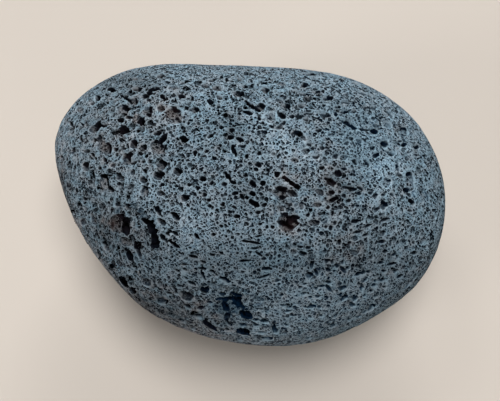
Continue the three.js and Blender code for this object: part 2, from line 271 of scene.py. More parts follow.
# %% Pits of the crest
CREST_PITS = [
    (-12.3, 30.5, 2, 1.4, 0, 2.6),
    (-13.8, 35.4, 3, 1.3, -15, 1.4),
    (-10.3, 34.6, 3, 1.5, -5, 1.2),
    (-8.9, 38, 1.3, 0.9, 0, 2),
    (-7.2, 37.3, 1.3, 1, 80, 2),
    (-11.7, 37.1, 2.4, 1, 10, 1.2),
    (-3.4, 37.4, 2.8, 0.9, -25, 1.6),
    (-1.2, 40.2, 2.6, 1, 0, 1.4),
    (-1.5, 35.2, 1.8, 0.9, -5, 1.8),
    (4.6, 34, 2.7, 1.7, 0, 1.5),
    (9.7, 36.2, 2.8, 1.3, 0, 1.3),
    (16.6, 35.9, 2.3, 1.2, 10, 2.6),
    (17.5, 34.9, 7, 2.8, -12, 0.9),
    (16.8, 32.9, 4, 0.9, -3, 2.8),
    (20.5, 33.6, 2.2, 1.1, 5, 2.4),
    (14.5, 35, 1.9, 1, -50, 1.6),
    (-2.4, 32.9, 1.7, 1.2, 80, 2.8),
    (-4, 32.8, 2.4, 2.2, 0, 1),
    (0.2, 29.5, 4.2, 1.1, -38, 3),
    (2.4, 28.2, 2.4, 1.2, -35, 3.2),
    (1.5, 31, 3.2, 2.2, -40, 0.7),
    (3.2, 29, 2.6, 2.4, 0, 1.5),
    (-0.6, 27.1, 2.9, 1.1, -20, 2.6),
    (11.4, 29.1, 2.4, 1.8, 0, 2.8),
    (9.7, 26.3, 2.7, 1.5, -25, 2.6),
    (12.8, 26, 1.7, 1.1, -10, 2.4),
    (9, 30.9, 2.8, 1.5, -40, 1.4),
    (15.7, 29.2, 2.4, 1.5, -25, 1.8),
    (6.2, 25.4, 3.3, 3, 0, 0.8),
    (8.9, 22.7, 2.2, 1.4, 15, 1.6),
    (10.2, 23.9, 1.6, 1.2, 20, 1.6),
    (14.2, 20.9, 3.3, 1.7, -5, 2.6),
    (16.2, 19.6, 2.4, 1.4, -40, 1.5),
    (-8.9, 22.6, 1.4, 1.1, 0, 2),
    (-5.8, 21.7, 1.6, 1.2, 0, 1.8),
    (-6, 19.4, 2.2, 1.3, 0, 2.2),
    (-3.1, 18.8, 2.4, 1.2, -30, 2.2),
    (-5.2, 16.8, 1.6, 1, 0, 2.2),
    (-12.3, 19.8, 2, 1.2, 20, 1.6),
    (2.8, 25.4, 1.3, 0.9, -60, 2),
    (-17.8, 31.5, 1.4, 0.9, 90, 1.6),
    (-9.5, 31.8, 2.4, 1.4, -30, 0.9),
    (24, 31.6, 2.9, 1.5, 5, 2.6),
    (29.1, 27.3, 2.7, 1.1, 5, 2.6),
    (32.1, 27.6, 1.4, 0.9, 10, 2),
    (29.8, 30.3, 3, 0.8, -8, 1.6),
    (27, 29, 1.8, 1, 0, 1.8),
    (23, 26.4, 3.2, 1.6, -5, 2.6),
    (26.4, 26.6, 1.3, 1.3, 0, 2),
    (18.3, 26.9, 3.2, 0.7, 0, 1.6),
    (22.5, 29.3, 1.1, 1, 0, 1.8),
    (34.8, 33, 3.2, 1, -15, 1.4),
    (36.9, 32.4, 1.4, 0.9, 0, 1.8),
    (38.5, 31.6, 1.4, 1, 0, 1.8),
    (35.4, 28.5, 1.4, 1, 0, 2.2),
    (38.2, 28.8, 2, 1, -15, 2),
    (43.2, 26.6, 2.8, 1.3, -50, 1.6),
    (35.7, 25.5, 2, 1, 0, 1.3),
    (47.4, 27, 2.4, 0.9, -45, 1.2),
    (17.3, 25.1, 1.8, 1, 0, 1.6),
    (30.4, 23.3, 5.8, 1.5, -28, 3),
    (35, 21.9, 3.8, 0.9, -5, 2.4),
    (33.4, 24.6, 8.5, 3.6, -12, 0.9),
    (38, 21.1, 2.3, 2.1, 0, 3),
    (42.5, 23.2, 2.4, 1.8, -20, 1.1),
    (47, 21, 3.4, 3, -45, 1),
    (41.3, 17.4, 2.5, 1.8, -20, 2.4),
    (43.4, 14.5, 2.6, 1.6, -20, 1.8),
    (38.9, 14, 2.3, 1.4, 10, 2.2),
    (37.8, 16.3, 1.8, 1.4, 30, 2),
    (47.5, 17.2, 1.6, 1.4, 0, 2.2),
    (45.7, 17.5, 2, 1.8, 90, 1.1),
    (51.2, 16.5, 1.8, 1.4, 0, 2),
    (48.4, 13, 2, 1, -45, 2.2),
    (45.4, 11.9, 1.8, 1, -50, 1.8),
    (45.6, 9.9, 2.2, 1.3, -70, 1.8),
    (46.2, 7.7, 2.6, 1.2, -35, 1.8),
    (49.5, 6, 5.2, 2.4, -78, 1.6),
    (48.9, 8.2, 1.8, 1.5, 0, 2.8),
    (42.2, 5.6, 3, 2.3, 80, 1.6),
    (36, 11.8, 2.3, 1, -50, 2.2),
    (32.3, 11.9, 2, 1.2, -45, 2),
    (28.9, 13.2, 2.4, 1.8, 0, 1.2),
    (26.2, 13.7, 1.9, 1.6, 45, 1.8),
    (20.2, 13.4, 2, 1.4, 0, 1.8),
    (17.1, 15.2, 2.4, 1.8, 0, 1.5),
    (21.2, 21.7, 1.8, 1.1, -10, 2.2),
    (28, 20.5, 1.6, 0.9, -10, 1.8),
    (29.7, 17.7, 1.6, 1.3, 0, 1.8),
    (33.6, 18.6, 1.8, 1.3, 0, 1.4),
    (33.9, 17.4, 2, 0.9, -35, 1.6),
    (18.3, 17.4, 1.8, 1.2, -40, 1.8),
    (22.2, 16.2, 1.6, 1.4, 0, 1.6),
    (22, 10, 1.6, 1.4, 0, 1.8),
    (27.2, 8.4, 2.2, 2.2, 0, 2.8),
    (25, 5.8, 3.4, 1.9, -35, 2.8),
    (30.8, 3.9, 4, 1.2, -10, 2.4),
    (34, 3.9, 2.2, 1, -30, 2.2),
    (33, 2.6, 4.6, 2, 0, 0.8),
    (53.9, 1.2, 5.2, 2, -62, 1.2),
]
print(f"{len(CREST_PITS)} pits on the crest")

# %% [markdown]
# The middle is fine froth, apart from two ragged caves right of it, where several bubbles run into one
# another.

# %% Pits of the middle
MIDDLE_PITS = [
    (-4.9, 15.2, 2.8, 1.1, -60, 2.8),
    (-16.9, 14.6, 1.6, 1.3, 80, 2.2),
    (-13.5, 15.2, 1.3, 1, 0, 1.8),
    (-14.5, 13.7, 1.8, 0.8, 10, 1.4),
    (-6.8, 7.6, 2.6, 1.3, -55, 2.6),
    (-14.6, 6.7, 1.9, 1.5, -10, 2.4),
    (-12, 5.4, 1.4, 1.2, 30, 1.6),
    (-8.2, 5.1, 1.8, 1.3, 0, 1.2),
    (-5.2, 5.7, 2, 1, -20, 2),
    (0.8, 5.3, 2.4, 1.7, -50, 2.2),
    (3.8, 5.3, 1.6, 1.5, 0, 2.4),
    (0.6, 2.2, 1.6, 1.5, 0, 2.2),
    (1.2, -0.8, 3, 1.6, -25, 2.6),
    (4.3, -1.4, 1.6, 1.3, 0, 1.8),
    (-2.5, 1.2, 1.6, 1, -60, 2),
    (-1, 0.9, 1.2, 1.1, 0, 2),
    (-4.7, 2.3, 2.3, 1, 5, 1.8),
    (-1.4, 7.9, 1.7, 1.1, 20, 2),
    (2.5, 11.1, 2, 1.3, -20, 2),
    (2.8, 14.6, 1.4, 1.1, -20, 1.8),
    (-1.1, 13.7, 1.2, 1, 80, 1.8),
    (-16.2, 3.9, 1.4, 1.3, 80, 2.2),
    (-20.2, 0.8, 2.5, 1.9, 20, 1.8),
    (-14.1, 1.7, 1.4, 1.2, 0, 1.6),
    (-18.8, 4.9, 1.2, 1, 0, 1.8),
    (-12.8, 0.2, 1.4, 0.9, 0, 1.8),
    (-12.6, -1.6, 1.3, 0.9, -10, 1.6),
    (-8.6, -1.2, 1.3, 1, 30, 1.8),
    (-4.2, -4.9, 1.9, 1.1, 20, 1.8),
    (-4.9, -2, 1.7, 0.8, -30, 1.4),
    (-8.9, -7.9, 1.3, 0.9, -20, 1.8),
    (13.8, 12.5, 2.6, 1.4, -10, 1.1),
    (2.4, -3.7, 1.6, 1.2, 0, 1.6),
    (3.1, -7.3, 1.1, 0.9, 0, 2),
    (5.2, -8.2, 1.2, 1, 80, 2),
    (6.8, -8.3, 1.2, 1, 80, 2),
    (8.3, 8.1, 1.6, 1.9, 0, 3),
    (10.5, 7.2, 1.2, 1, 0, 3),
    (11.4, 6.4, 1.5, 1, -40, 3.4),
    (12.9, 5.4, 2.1, 1.2, -40, 3.6),
    (14.5, 4.4, 2, 1.3, -30, 3.6),
    (9.9, 0.8, 1.7, 1.4, 0, 3),
    (9.2, 2.4, 4.2, 3.2, -35, 2),
    (9.3, 3.8, 3.6, 1, 0, 3.2),
    (13, 2.4, 3.3, 1.6, -30, 2.4),
    (9.5, -2.6, 2.5, 2.2, 0, 1.9),
    (12, -1.2, 2.3, 1.2, -5, 2),
    (15.8, -1.8, 2.4, 1.8, 85, 1.4),
    (11.4, -6.8, 5.7, 4.6, -10, 2.8),
    (9.9, -6.9, 3.2, 1.5, -5, 3.4),
    (13.4, -5.2, 2.8, 1.4, -10, 3.2),
    (12.1, -8.2, 2.2, 1.5, 0, 3),
    (19.7, -6.8, 3.3, 2, 0, 2),
    (21.5, 2.6, 3, 1.8, -20, 1.8),
    (25.2, 2.5, 1.9, 1.3, 0, 2.4),
    (25.5, 0.2, 3, 1.3, 25, 2.2),
    (29, 1.4, 1.5, 1.2, -30, 2),
    (30.3, -0.1, 1.6, 1, 10, 2),
    (31.8, -1.7, 1.2, 1.2, 0, 1.8),
    (20.6, -1.3, 2.6, 1.6, 0, 1.4),
    (17.8, -4.5, 1.3, 1, 0, 2.2),
    (24, -2.3, 1.2, 1, 0, 1.8),
    (25.5, -4.2, 1.4, 1, 80, 1.8),
    (24.9, -8.6, 1.8, 1.1, 90, 2),
    (23.4, -8.1, 1.1, 0.9, 0, 1.8),
    (26.2, -6.9, 1.6, 1, 70, 1.8),
]
print(f"{len(MIDDLE_PITS)} pits in the middle")

# %% [markdown]
# The blunt end, at the right, has small bubbles with wide walls between them.

# %% Pits of the blunt end
BLUNT_END_PITS = [
    (32.6, -6.3, 2.9, 1.2, 5, 2.6),
    (41.2, -1.6, 2.5, 2, 70, 2.4),
    (39.2, -2.8, 2.6, 1, 40, 1.6),
    (41.6, -5.9, 3.1, 1.2, 15, 2.4),
    (36.3, -7.8, 3, 0.9, 25, 1.8),
    (33.2, -9.7, 3.2, 0.9, 15, 1.8),
    (35.6, -10.7, 2.1, 1.1, 5, 2.2),
    (32.5, -11.8, 2.2, 1.6, 0, 1.6),
    (40.8, -10.2, 2.3, 1.6, 30, 1.6),
    (44.5, -8.3, 1.5, 1.1, 90, 1.8),
    (41.3, 1.8, 1.4, 1, 0, 1.8),
    (43.9, 1.8, 1.6, 1.2, -40, 1.8),
    (43.1, -0.8, 1.7, 1.4, 0, 1.6),
    (38.6, 1.4, 2.2, 1.2, 70, 1.6),
    (37.3, 2.3, 1.4, 1.1, 0, 1.8),
    (48.6, 1.3, 5.4, 2.1, -60, 1.3),
    (47.8, 3, 1.8, 1.7, 0, 3.2),
    (48.7, 1.7, 1.7, 1.2, -30, 2.2),
    (49.5, -0.4, 2.5, 1.5, -60, 3.4),
    (49.5, -3.2, 1.6, 0.9, -10, 1.4),
    (56.6, -5.1, 1.3, 1.2, 0, 1.8),
    (52.9, -13.1, 1.4, 1, 90, 1.8),
    (54.2, -14.3, 1.2, 1, 0, 1.8),
    (50.5, -13.1, 1.2, 1, 0, 1.6),
    (50.7, -16.2, 2, 1.3, 0, 2.2),
    (55.5, -18.3, 2, 1.8, 90, 1.8),
    (52.6, -17.7, 1.7, 1.2, -20, 1.4),
    (43.4, -13.2, 2.1, 1, 90, 2),
    (40.6, -12.8, 2.3, 1.1, 0, 2),
    (41.6, -15.8, 1.4, 1.2, 0, 2),
    (30.6, -14, 2.3, 1.1, 80, 1.8),
    (27.6, -13.1, 1.5, 1.1, 90, 1.8),
    (37.3, -17.7, 1.3, 1.2, 0, 1.8),
    (16.3, -16.5, 2.2, 1.5, 0, 2.4),
    (17.8, -14.6, 1.5, 1, 10, 2),
    (15.4, -14.3, 1.5, 1, 0, 2),
    (44.4, -16.6, 2.2, 0.9, 25, 1.6),
    (43.7, -19.6, 2.4, 1.1, 10, 2.2),
    (40.3, -19.2, 1.6, 1.1, 0, 2),
    (45.5, -17.4, 1.3, 1, 90, 1.6),
    (32.3, -16, 3, 1.6, 0, 1.2),
    (18.2, -23.2, 2.1, 1.9, 0, 2.2),
    (19.1, -20, 2.4, 1.2, 85, 2.2),
    (20.5, -22.3, 2.1, 1.1, -55, 2.2),
    (23.9, -18.8, 1.6, 1.2, 20, 2),
    (25.5, -18.9, 1.6, 1, 90, 2),
    (28.9, -21.4, 2.6, 1.2, -50, 2.4),
    (30.1, -20.8, 1.2, 1.1, 0, 2),
    (28.6, -19, 1.6, 1.1, 90, 2),
    (26.9, -20.2, 1.6, 1.3, 0, 1.8),
    (24.1, -21.4, 2, 1, -30, 1.8),
    (33.3, -22.8, 2.5, 1.3, 15, 2.2),
    (35.1, -22, 1.6, 1, -30, 2),
    (36.6, -22, 1.3, 1, 0, 2),
    (34.4, -26.8, 2.5, 1.2, 85, 2.4),
    (35.5, -24.5, 2.3, 1, 35, 1.8),
    (28.5, -27, 2.9, 1.3, 15, 2),
    (24.6, -27.4, 2.7, 1.2, -50, 2),
    (24, -25.2, 1.7, 0.9, -10, 1.8),
    (22.2, -26.4, 2.5, 1, -5, 1.8),
    (20.2, -27.1, 1.3, 1.2, 0, 1.6),
    (32.4, -30.2, 2.5, 1.3, 30, 2),
    (28.8, -30.2, 2.9, 1.3, 30, 2.2),
    (31.5, -32.2, 1.9, 1.4, -20, 1.8),
    (37.4, -33, 2.9, 1.3, 45, 2.6),
    (38.7, -29.5, 1.1, 1, 0, 2),
    (35.3, -29.3, 1.5, 0.9, 25, 1.8),
    (30.6, -36.7, 1.1, 1, 0, 2.2),
    (18.9, -32.8, 2.5, 1.2, 5, 2.6),
    (16.9, -32.9, 1.1, 0.9, 0, 1.8),
    (21.4, -33, 1.4, 0.9, 20, 1.8),
    (18.5, -29.9, 1.1, 1, 0, 1.8),
    (16.6, -28.8, 1.7, 0.9, 10, 1.8),
    (20.7, -29.7, 1.6, 0.9, 0, 1.6),
    (18.5, -35.9, 1.1, 1, 0, 2),
    (21.9, -35.6, 1.2, 0.9, -10, 1.8),
    (13, -35.5, 1.7, 0.9, -5, 1.8),
    (9.9, -32.4, 1.5, 1, 0, 2),
    (11.8, -34.2, 1.8, 0.8, 0, 1.6),
    (9.6, -29.3, 1.5, 0.9, 0, 2),
    (16.8, -25.8, 1.7, 0.9, 10, 1.6),
    (26.4, -35.7, 1.7, 0.9, 40, 1.6),
    (33.4, -35.8, 1.9, 0.8, 10, 1.6),
    (25.2, -39, 1.3, 1, 20, 1.6),
    (15.4, -41.1, 2, 0.9, 5, 1.8),
    (17.8, -42.6, 2, 0.9, 0, 1.6),
    (11.1, -38.3, 1.7, 0.8, -20, 1.6),
    (40.8, -24.4, 1.7, 1.2, 0, 2.2),
    (38.7, -24.8, 1.1, 1, 0, 1.8),
    (41.3, -21.8, 1.4, 1, 0, 2),
    (41.6, -26.7, 1.2, 1, 0, 1.6),
    (38.2, -26.1, 1.7, 1, 10, 1.8),
    (37.3, -27.9, 1.4, 0.9, 0, 1.8),
    (44.9, -21.8, 1.7, 1.3, 30, 1.8),
    (46.2, -23.4, 2.5, 1, 30, 2),
    (49.6, -25, 4, 0.8, 42, 1.3),
    (48.3, -26.6, 3, 0.7, 45, 1.1),
    (35.4, -34.4, 2.4, 0.9, 25, 1.4),
]
print(f"{len(BLUNT_END_PITS)} pits on the blunt end")

# %% [markdown]
# The lower front has the largest openings: a crescent of bubbles that run together at the left, and a wide
# cave near the lower edge.

# %% Pits of the lower front
FRONT_PITS = [
    (-39.8, -7, 5.6, 4.4, -45, 1.2),
    (-38, -8.6, 4, 1.7, -70, 3.4),
    (-38.8, -5.6, 3.8, 1.5, -35, 2.8),
    (-32.7, -6, 2.4, 1.1, -15, 3.4),
    (-31.1, -7.3, 3.4, 2.6, -45, 4.6),
    (-30.1, -9, 3.4, 2.5, -70, 5),
    (-29.5, -10.7, 2.8, 2.3, -85, 5),
    (-29, -12.3, 3.4, 3.2, -70, 5),
    (-29.3, -13.7, 3.3, 2, 0, 4.6),
    (-33.4, -11.4, 5, 4, -65, 0.7),
    (-37.4, -16.8, 3.8, 1.8, -62, 3.2),
    (-44.4, -14.2, 3, 1.8, -60, 2.4),
    (-34.3, -15, 5, 1.2, -68, 2.4),
    (-38.3, -12.6, 3.2, 2.4, -45, 1.4),
    (-51.4, -6.5, 2.6, 2.1, -60, 2),
    (-28.3, -3.2, 2.6, 1.3, -62, 2.4),
    (-23.2, -4.8, 2.6, 1.8, -35, 2.2),
    (-27.2, -6.6, 2.4, 1.6, -40, 1.6),
    (-24.9, -9.4, 1.8, 1.1, -35, 1.6),
    (-25.5, -10.4, 1.6, 0.9, -30, 2.2),
    (-23.1, -10.2, 2, 1, -35, 1.8),
    (-26.6, -11.8, 2.8, 1.2, -50, 2.2),
    (-23.3, -13.6, 3.8, 1.1, -38, 2.4),
    (-16.4, -11.2, 2.3, 1, -60, 2.4),
    (-11.3, -10.6, 1.2, 1, 0, 1.8),
    (-37.8, -2, 2.4, 1.5, -60, 1.8),
    (-41.2, -1.1, 1.8, 1.5, 0, 1.6),
    (-17.5, -17.4, 2.7, 1, -15, 2),
    (-14.5, -19.1, 1.4, 0.9, -20, 1.8),
    (-14.6, -21.1, 2, 1.1, -5, 2.6),
    (-14.4, -23.4, 2.9, 1, -65, 2.4),
    (-11.8, -22, 1.5, 1.1, 0, 2.4),
    (-10.3, -22.9, 1.3, 0.8, -55, 2),
    (-7.7, -24.5, 3, 1.5, -10, 2.8),
    (-13.8, -27.4, 2.6, 2.2, 0, 3),
    (-18, -25.5, 2.5, 1, -25, 2),
    (-21.8, -26.4, 1.7, 1.1, -15, 2),
    (-19.8, -23.9, 1.5, 0.8, -40, 1.8),
    (-23.3, -27.2, 1.9, 1, -30, 2),
    (-25, -28.7, 1.9, 1, -15, 2),
    (-22.8, -28.5, 1.1, 0.9, -20, 1.8),
    (-20.2, -19.8, 2, 0.9, 5, 1.8),
    (-20, -21.4, 1.4, 0.9, -20, 1.8),
    (-22.4, -21.7, 1.5, 0.9, -20, 1.8),
    (-8.6, -28.8, 1.9, 0.9, -10, 2),
    (-4.2, -29.2, 3.3, 1, -20, 2.4),
    (-4.9, -26.5, 1.5, 1, -20, 1.6),
    (-11.3, -25.7, 1.9, 0.9, -35, 1.6),
    (5, -21.2, 2.7, 1.2, 0, 2.4),
    (4.3, -23.6, 3.3, 0.9, 18, 2.4),
    (1.4, -13, 3.5, 0.8, -12, 1.8),
    (-1.5, -12.6, 2.3, 0.7, -10, 1.4),
    (1.5, -14.8, 2.9, 0.7, 5, 1.2),
    (2.6, -16.6, 2.3, 0.8, -35, 1.6),
    (4.2, -18.1, 1.7, 0.9, 10, 1.6),
    (-1.8, -18.7, 3.5, 0.8, 3, 1.8),
    (5.2, -16.9, 1.3, 0.8, -10, 1.8),
    (2.4, -11, 3, 0.8, 15, 1.2),
    (13.3, -15.8, 1.9, 1.5, 0, 1.4),
    (-8.9, -16.3, 1.6, 0.8, -35, 1.6),
    (-11.8, -16.9, 1.5, 0.9, -20, 1.6),
    (8.3, -24.8, 1.7, 0.9, 15, 1.4),
    (-6.5, -30.4, 7.4, 1.3, -2, 2.8),
    (-6.8, -32.5, 8.2, 4.2, -5, 1.5),
    (-3.5, -31.9, 2.3, 2.4, 0, 3.6),
    (-7.4, -32.8, 3.2, 1.3, -60, 2.8),
    (-1.2, -35.2, 3.6, 1.9, -15, 3.4),
    (-19.4, -29.8, 3.8, 2.5, -28, 2),
    (-27.1, -31.1, 3.5, 1.8, -10, 2.2),
    (-2.2, -40.7, 4.2, 1.7, -12, 3.4),
    (-2.3, -38.4, 2.4, 1.2, -10, 2.2),
    (4.6, -37.2, 3, 1.4, -8, 2.6),
    (2, -38.6, 2.2, 1.1, -15, 2),
    (1.8, -36.8, 1.8, 0.9, 0, 1.8),
    (3.6, -40.8, 2.3, 1.1, -5, 2.2),
    (7.6, -39.9, 2.8, 1.7, -60, 3),
    (5.2, -42.5, 3.8, 1.5, -5, 3),
    (1, -43.7, 3.2, 1.1, -12, 2),
    (-3.5, -42.9, 2.4, 1.1, -15, 1.8),
    (-7, -36.2, 1.9, 1.6, 0, 2.4),
    (-6.6, -38, 2.4, 1.1, -35, 2.2),
    (-7.2, -39.9, 1.3, 0.9, -20, 1.6),
    (2.5, -30.6, 3.4, 1.8, 0, 0.9),
    (-12.4, -38.6, 5.2, 1.6, -42, 3),
    (-17.5, -39.5, 2.8, 1.3, -15, 2.2),
    (-19.1, -32.8, 2.3, 1.2, -25, 2.2),
    (-15.2, -33, 1.8, 1.2, 10, 1.8),
    (-16, -35.8, 2.6, 1.2, -15, 2.2),
    (-21.2, -37.1, 2.6, 1.3, -20, 2),
    (-12.5, -31.2, 1.7, 1, -10, 1.8),
    (-38.8, -25.2, 4.1, 2.6, -50, 3.2),
    (-36.2, -27.8, 2.6, 2.4, -50, 2.4),
    (-27.1, -34.8, 3.5, 2.4, -30, 1.5),
    (25.4, -38.6, 1.8, 1.5, 0, 1.2),
]
print(f"{len(FRONT_PITS)} pits on the lower front")

# %% [markdown]
# From what is seen to a place on the stone. A ray from the camera finds where a pit lies on the skin. The
# length and the width of its mouth are slid along the line of sight until they lie in the skin.

# %% Places on the skin
SLANT_LIMIT = 2.5  # how much longer a mouth on a steep flank may be than it looks
TINY = 0.001  # keeps a division from being by nothing


def lay_on_skin(seen, sight, normal):
    """Slides a vector that is seen square on along the line of sight, until it lies in the skin."""
    laid = seen - sight * (seen.dot(normal) / sight.dot(normal))
    longest = seen.length * SLANT_LIMIT
    return laid * min(1, longest / max(laid.length, TINY))


def on_hull(start, towards):
    """Where a ray first meets the hull, in millimetres, and which way the hull faces there."""
    _, point, normal, _ = hull.ray_cast(start, towards)
    return point / MM, normal


bpy.context.view_layer.update()
aimed_at, _ = on_hull(viewer, -to_viewer)
print("the camera looks at", [round(c, 1) for c in aimed_at], "mm")

# %% [markdown]
# From a row to a bubble. Each bubble is an ellipsoid, with its middle a little below the skin, so that its
# mouth is a little smaller than the bubble is wide. Where a dish has lowered the skin, the bubble goes down
# with it. Towards the blunt end the pits look less dark, so they are made flatter.

# %% Bubbles from the rows
SINK = 0.35  # how far a bubble's middle lies below the skin, as a share of its half depth


def bubble(point, half_long, half_wide, normal, deep):
    """A pit's bubble, in millimetres. to_unit turns a place round its middle into one round a unit ball."""
    spread = 1 / math.sqrt(1 - SINK**2)
    half_deep = deep / (1 + SINK)
    axes = np.array([half_long * spread, half_wide * spread, normal * half_deep]).T
    return {
        "point": point,
        "middle": point - normal * SINK * half_deep,
        "to_unit": np.linalg.inv(axes),
        "half_deep": half_deep,
        "radius": half_long.length,
        "narrow": min(half_long.length, half_wide.length),
    }


def lowered_by(dishes, point):
    """How far the broad dishes lower the skin at a point, in millimetres."""
    lowered = 0
    for dish in dishes:
        place = dish["to_unit"] @ np.array(point - dish["middle"])
        across = 1 - place[0] ** 2 - place[1] ** 2
        if across > 0:
            lowered = max(lowered, (place[2] + math.sqrt(across)) * dish["half_deep"])
    return lowered


def seen_pit(to_right, to_up, long, wide, turn, deep, dishes=()):
    """The bubble of a pit, moved so that it still shows at its measured place if a dish lowers it."""
    aim = VIEW_TARGET + (seen_right * to_right + seen_up * to_up) * MM
    sight = (aim - viewer).normalized()
    point, normal = on_hull(viewer, sight)
    point += lay_on_skin(normal * lowered_by(dishes, point), sight, normal)
    turned = Matrix.Rotation(math.radians(turn), 3, to_viewer)
    half_long = lay_on_skin(turned @ seen_right * long / 2, sight, normal)
    half_wide = lay_on_skin(turned @ seen_up * wide / 2, sight, normal)
    return bubble(point, half_long, half_wide, normal, deep)


FLATTER = 0.4  # how much shallower the pits of the blunt end are, as a share
FLATTER_FROM = -5  # millimetres right of the aim, where the pits begin to be shallower
FLATTER_OVER = 15  # millimetres over which they reach that share

dishes = [seen_pit(*measures) for measures in DISHES]
pits = list(dishes)
for *measures, deep in SHOULDER_PITS + CREST_PITS + MIDDLE_PITS + BLUNT_END_PITS + FRONT_PITS:
    towards_blunt_end = min(max((measures[0] - FLATTER_FROM) / FLATTER_OVER, 0), 1)
    pits.append(seen_pit(*measures, deep * (1 - FLATTER * towards_blunt_end), dishes))
print(f"{len(pits)} measured pits")

# %% [markdown]
# The sides, the back and the underside can't be seen in the reference, but bubbles don't choose a side.
# Like pits are scattered there by a small seeded generator, so that every run gives the same stone. A pit
# is dropped where it would break into one that is there already, or into the flat that the stone rests on.

# %% Pits scattered over the unseen sides
SCATTER_SEED = 20
SCATTER_TRIES = 1200
SCATTER_MOST = 64
SCATTER_MOUTH = (2.6, 6)  # millimetres, the shortest and the longest
SCATTER_SLIMNESS = (0.65, 1)  # a mouth's width as a share of its length
SCATTER_DEPTH = (0.32, 0.5)  # and its depth
SCATTER_MIDDLE = Vector((0, 0, 29.09)) * MM
WALL_BETWEEN = 2.4  # millimetres from one mouth to the next
REST_CLEARANCE = 7  # millimetres that are kept free round the middle of the flat
STRIDE, OFFSET, DRAWS = 1664525, 1013904223, 2**32  # the usual three numbers of a simple generator


def seeded_random(seed):
    """Numbers from 0 to 1, the same in every run."""
    state = seed
    while True:
        state = (state * STRIDE + OFFSET) % DRAWS
        yield state / DRAWS


def between(limits, share):
    """The value that lies a share of the way from the lower limit to the upper."""
    return limits[0] + (limits[1] - limits[0]) * share


def scattered_pits(taken):
    """Bubbles at random places on the hull, clear of one another and of those that are taken."""
    draw = seeded_random(SCATTER_SEED)
    outside = (cad_box[1] - cad_box[0]).length
    made = []
    for _ in range(SCATTER_TRIES):
        tilt = math.asin(2 * next(draw) - 1)
        compass = 2 * math.pi * next(draw)
        long = between(SCATTER_MOUTH, next(draw) ** 2)
        wide = long * between(SCATTER_SLIMNESS, next(draw))
        deep = long * between(SCATTER_DEPTH, next(draw))
        spin = math.pi * next(draw)
        level = math.cos(tilt)
        towards = Vector((level * math.cos(compass), level * math.sin(compass), math.sin(tilt)))
        point, normal = on_hull(SCATTER_MIDDLE + towards * outside, -towards)
        room = [(other["point"] - point).length - other["radius"] - long / 2 for other in taken + made]
        if min(room) < WALL_BETWEEN or point.length < REST_CLEARANCE + long:
            continue
        level_way = Vector((0, 0, 1)).cross(normal)
        along = level_way.normalized() if level_way.length > TINY else Vector((1, 0, 0))
        along.rotate(Matrix.Rotation(spin, 3, normal))
        beside = normal.cross(along)
        made.append(bubble(point, along * long / 2, beside * wide / 2, normal, deep))
        if len(made) == SCATTER_MOST:
            break
    return made


scattered = scattered_pits(pits)
pits += scattered
print(f"{len(scattered)} scattered pits")

# %% [markdown]
# The fine mesh. An ico sphere has even triangles all over, with no poles, so it takes relief well
# everywhere. It is wrapped on the smooth skin, and its points are then moved, as a sculptor's tools move
# them.

# %% Fine ball
FINENESS = 9

stone = ball_round_the_stone("lava_rock_surface", FINENESS)
apply_modifier(stone, "SHRINKWRAP", target=skin, wrap_method="NEAREST_SURFACEPOINT")


def read(data, name, count):
    """One value or vector for each point of a mesh, as an array."""
    values = np.empty(len(data) * count, np.float32)
    data.foreach_get(name, values)
    return values.reshape(-1, count) if count > 1 else values


mesh = stone.data
skin_place = read(mesh.vertices, "co", 3) / MM
outward = read(mesh.vertex_normals, "vector", 3)
print(f"fine ball: {len(mesh.polygons)} triangles")

# %% [markdown]
# No bubble is quite round, so the edges of the mouths stray a little. What they stray by is a soft random
# field, made from a few waves that run in random directions.

# %% Soft random fields
WAVES = 9
WAVE_RATES = (0.6, 1.5)  # the slowest and the fastest wave, as shares of the usual one
WAVE_PEAK = 1.6  # brings the sum of the waves to about -1 to 1
WARP_SIZE = 1.7  # millimetres from one bend of a mouth's edge to the next
WARP_SEEDS = (3, 4)


def wave_noise(places, size, seed):
    """A soft random field, about -1 to 1, with bends about as far apart as size, in millimetres."""
    draw = np.random.default_rng(seed)
    total = np.zeros(len(places), np.float32)
    for _ in range(WAVES):
        way = draw.normal(size=3)
        way *= 2 * math.pi / size / np.linalg.norm(way) * draw.uniform(*WAVE_RATES)
        total += np.sin(places @ way.astype(np.float32) + draw.uniform(0, 2 * math.pi))
    return total * math.sqrt(2 / WAVES) / WAVE_PEAK


warp_a, warp_b = (wave_noise(skin_place, WARP_SIZE, seed) for seed in WARP_SEEDS)
print(f"the fields run from {warp_a.min():.1f} to {warp_a.max():.1f}")

# %% [markdown]
# Carving. A point over a bubble goes straight down until it meets the bubble's far wall, so the bubble's
# own round form is cut, with a sharp edge where it is wider below than at its mouth. The flowing lava drew
# its bubbles out in one way, and they are deeper at that end.
#
# In the real stone such a bubble also runs on under the skin at that end, and the overhang keeps the light
# out, so it is black there. Points that only move down can't make an overhang. So each point is also given
# how far it lies within that shade, and the material paints it black there: a painted shadow. The deeper the
# pit, the more of it has this painted shadow.

# %% Carve the pits
WARP = 0.16  # how far a mouth's edge strays, as a share of the mouth
LEAN_WAY = Vector((0.55, 0.75, 0.35)).normalized()  # the way in which the flowing lava drew its bubbles out
LEAN = 0.9  # how much deeper a pit is at that end than in its middle, as a share
MOST_REACH = 1.6  # how far from its middle a pit can reach, as a share of its half length
SHALLOWEST_PIT = 0.25  # half depth as a share of half length; what is shallower is a dish
NO_PIT_NEAR = 3.0  # millimetres, what a place far from every pit reads as its distance
PAINTED_SHADOW_START = 1.3  # how far towards the leaning end the painted shadow of a pit of no depth would start
PAINTED_SHADOW_PER_DEPTH = 0.65  # how much nearer it starts for each millimetre of depth
PAINTED_SHADOW_STRAY = 0.25  # how far the start strays
ROUND_THE_MOUTH = 0.3  # millimetres by which the painted shadow may pass a mouth's edge, where the depth ends it
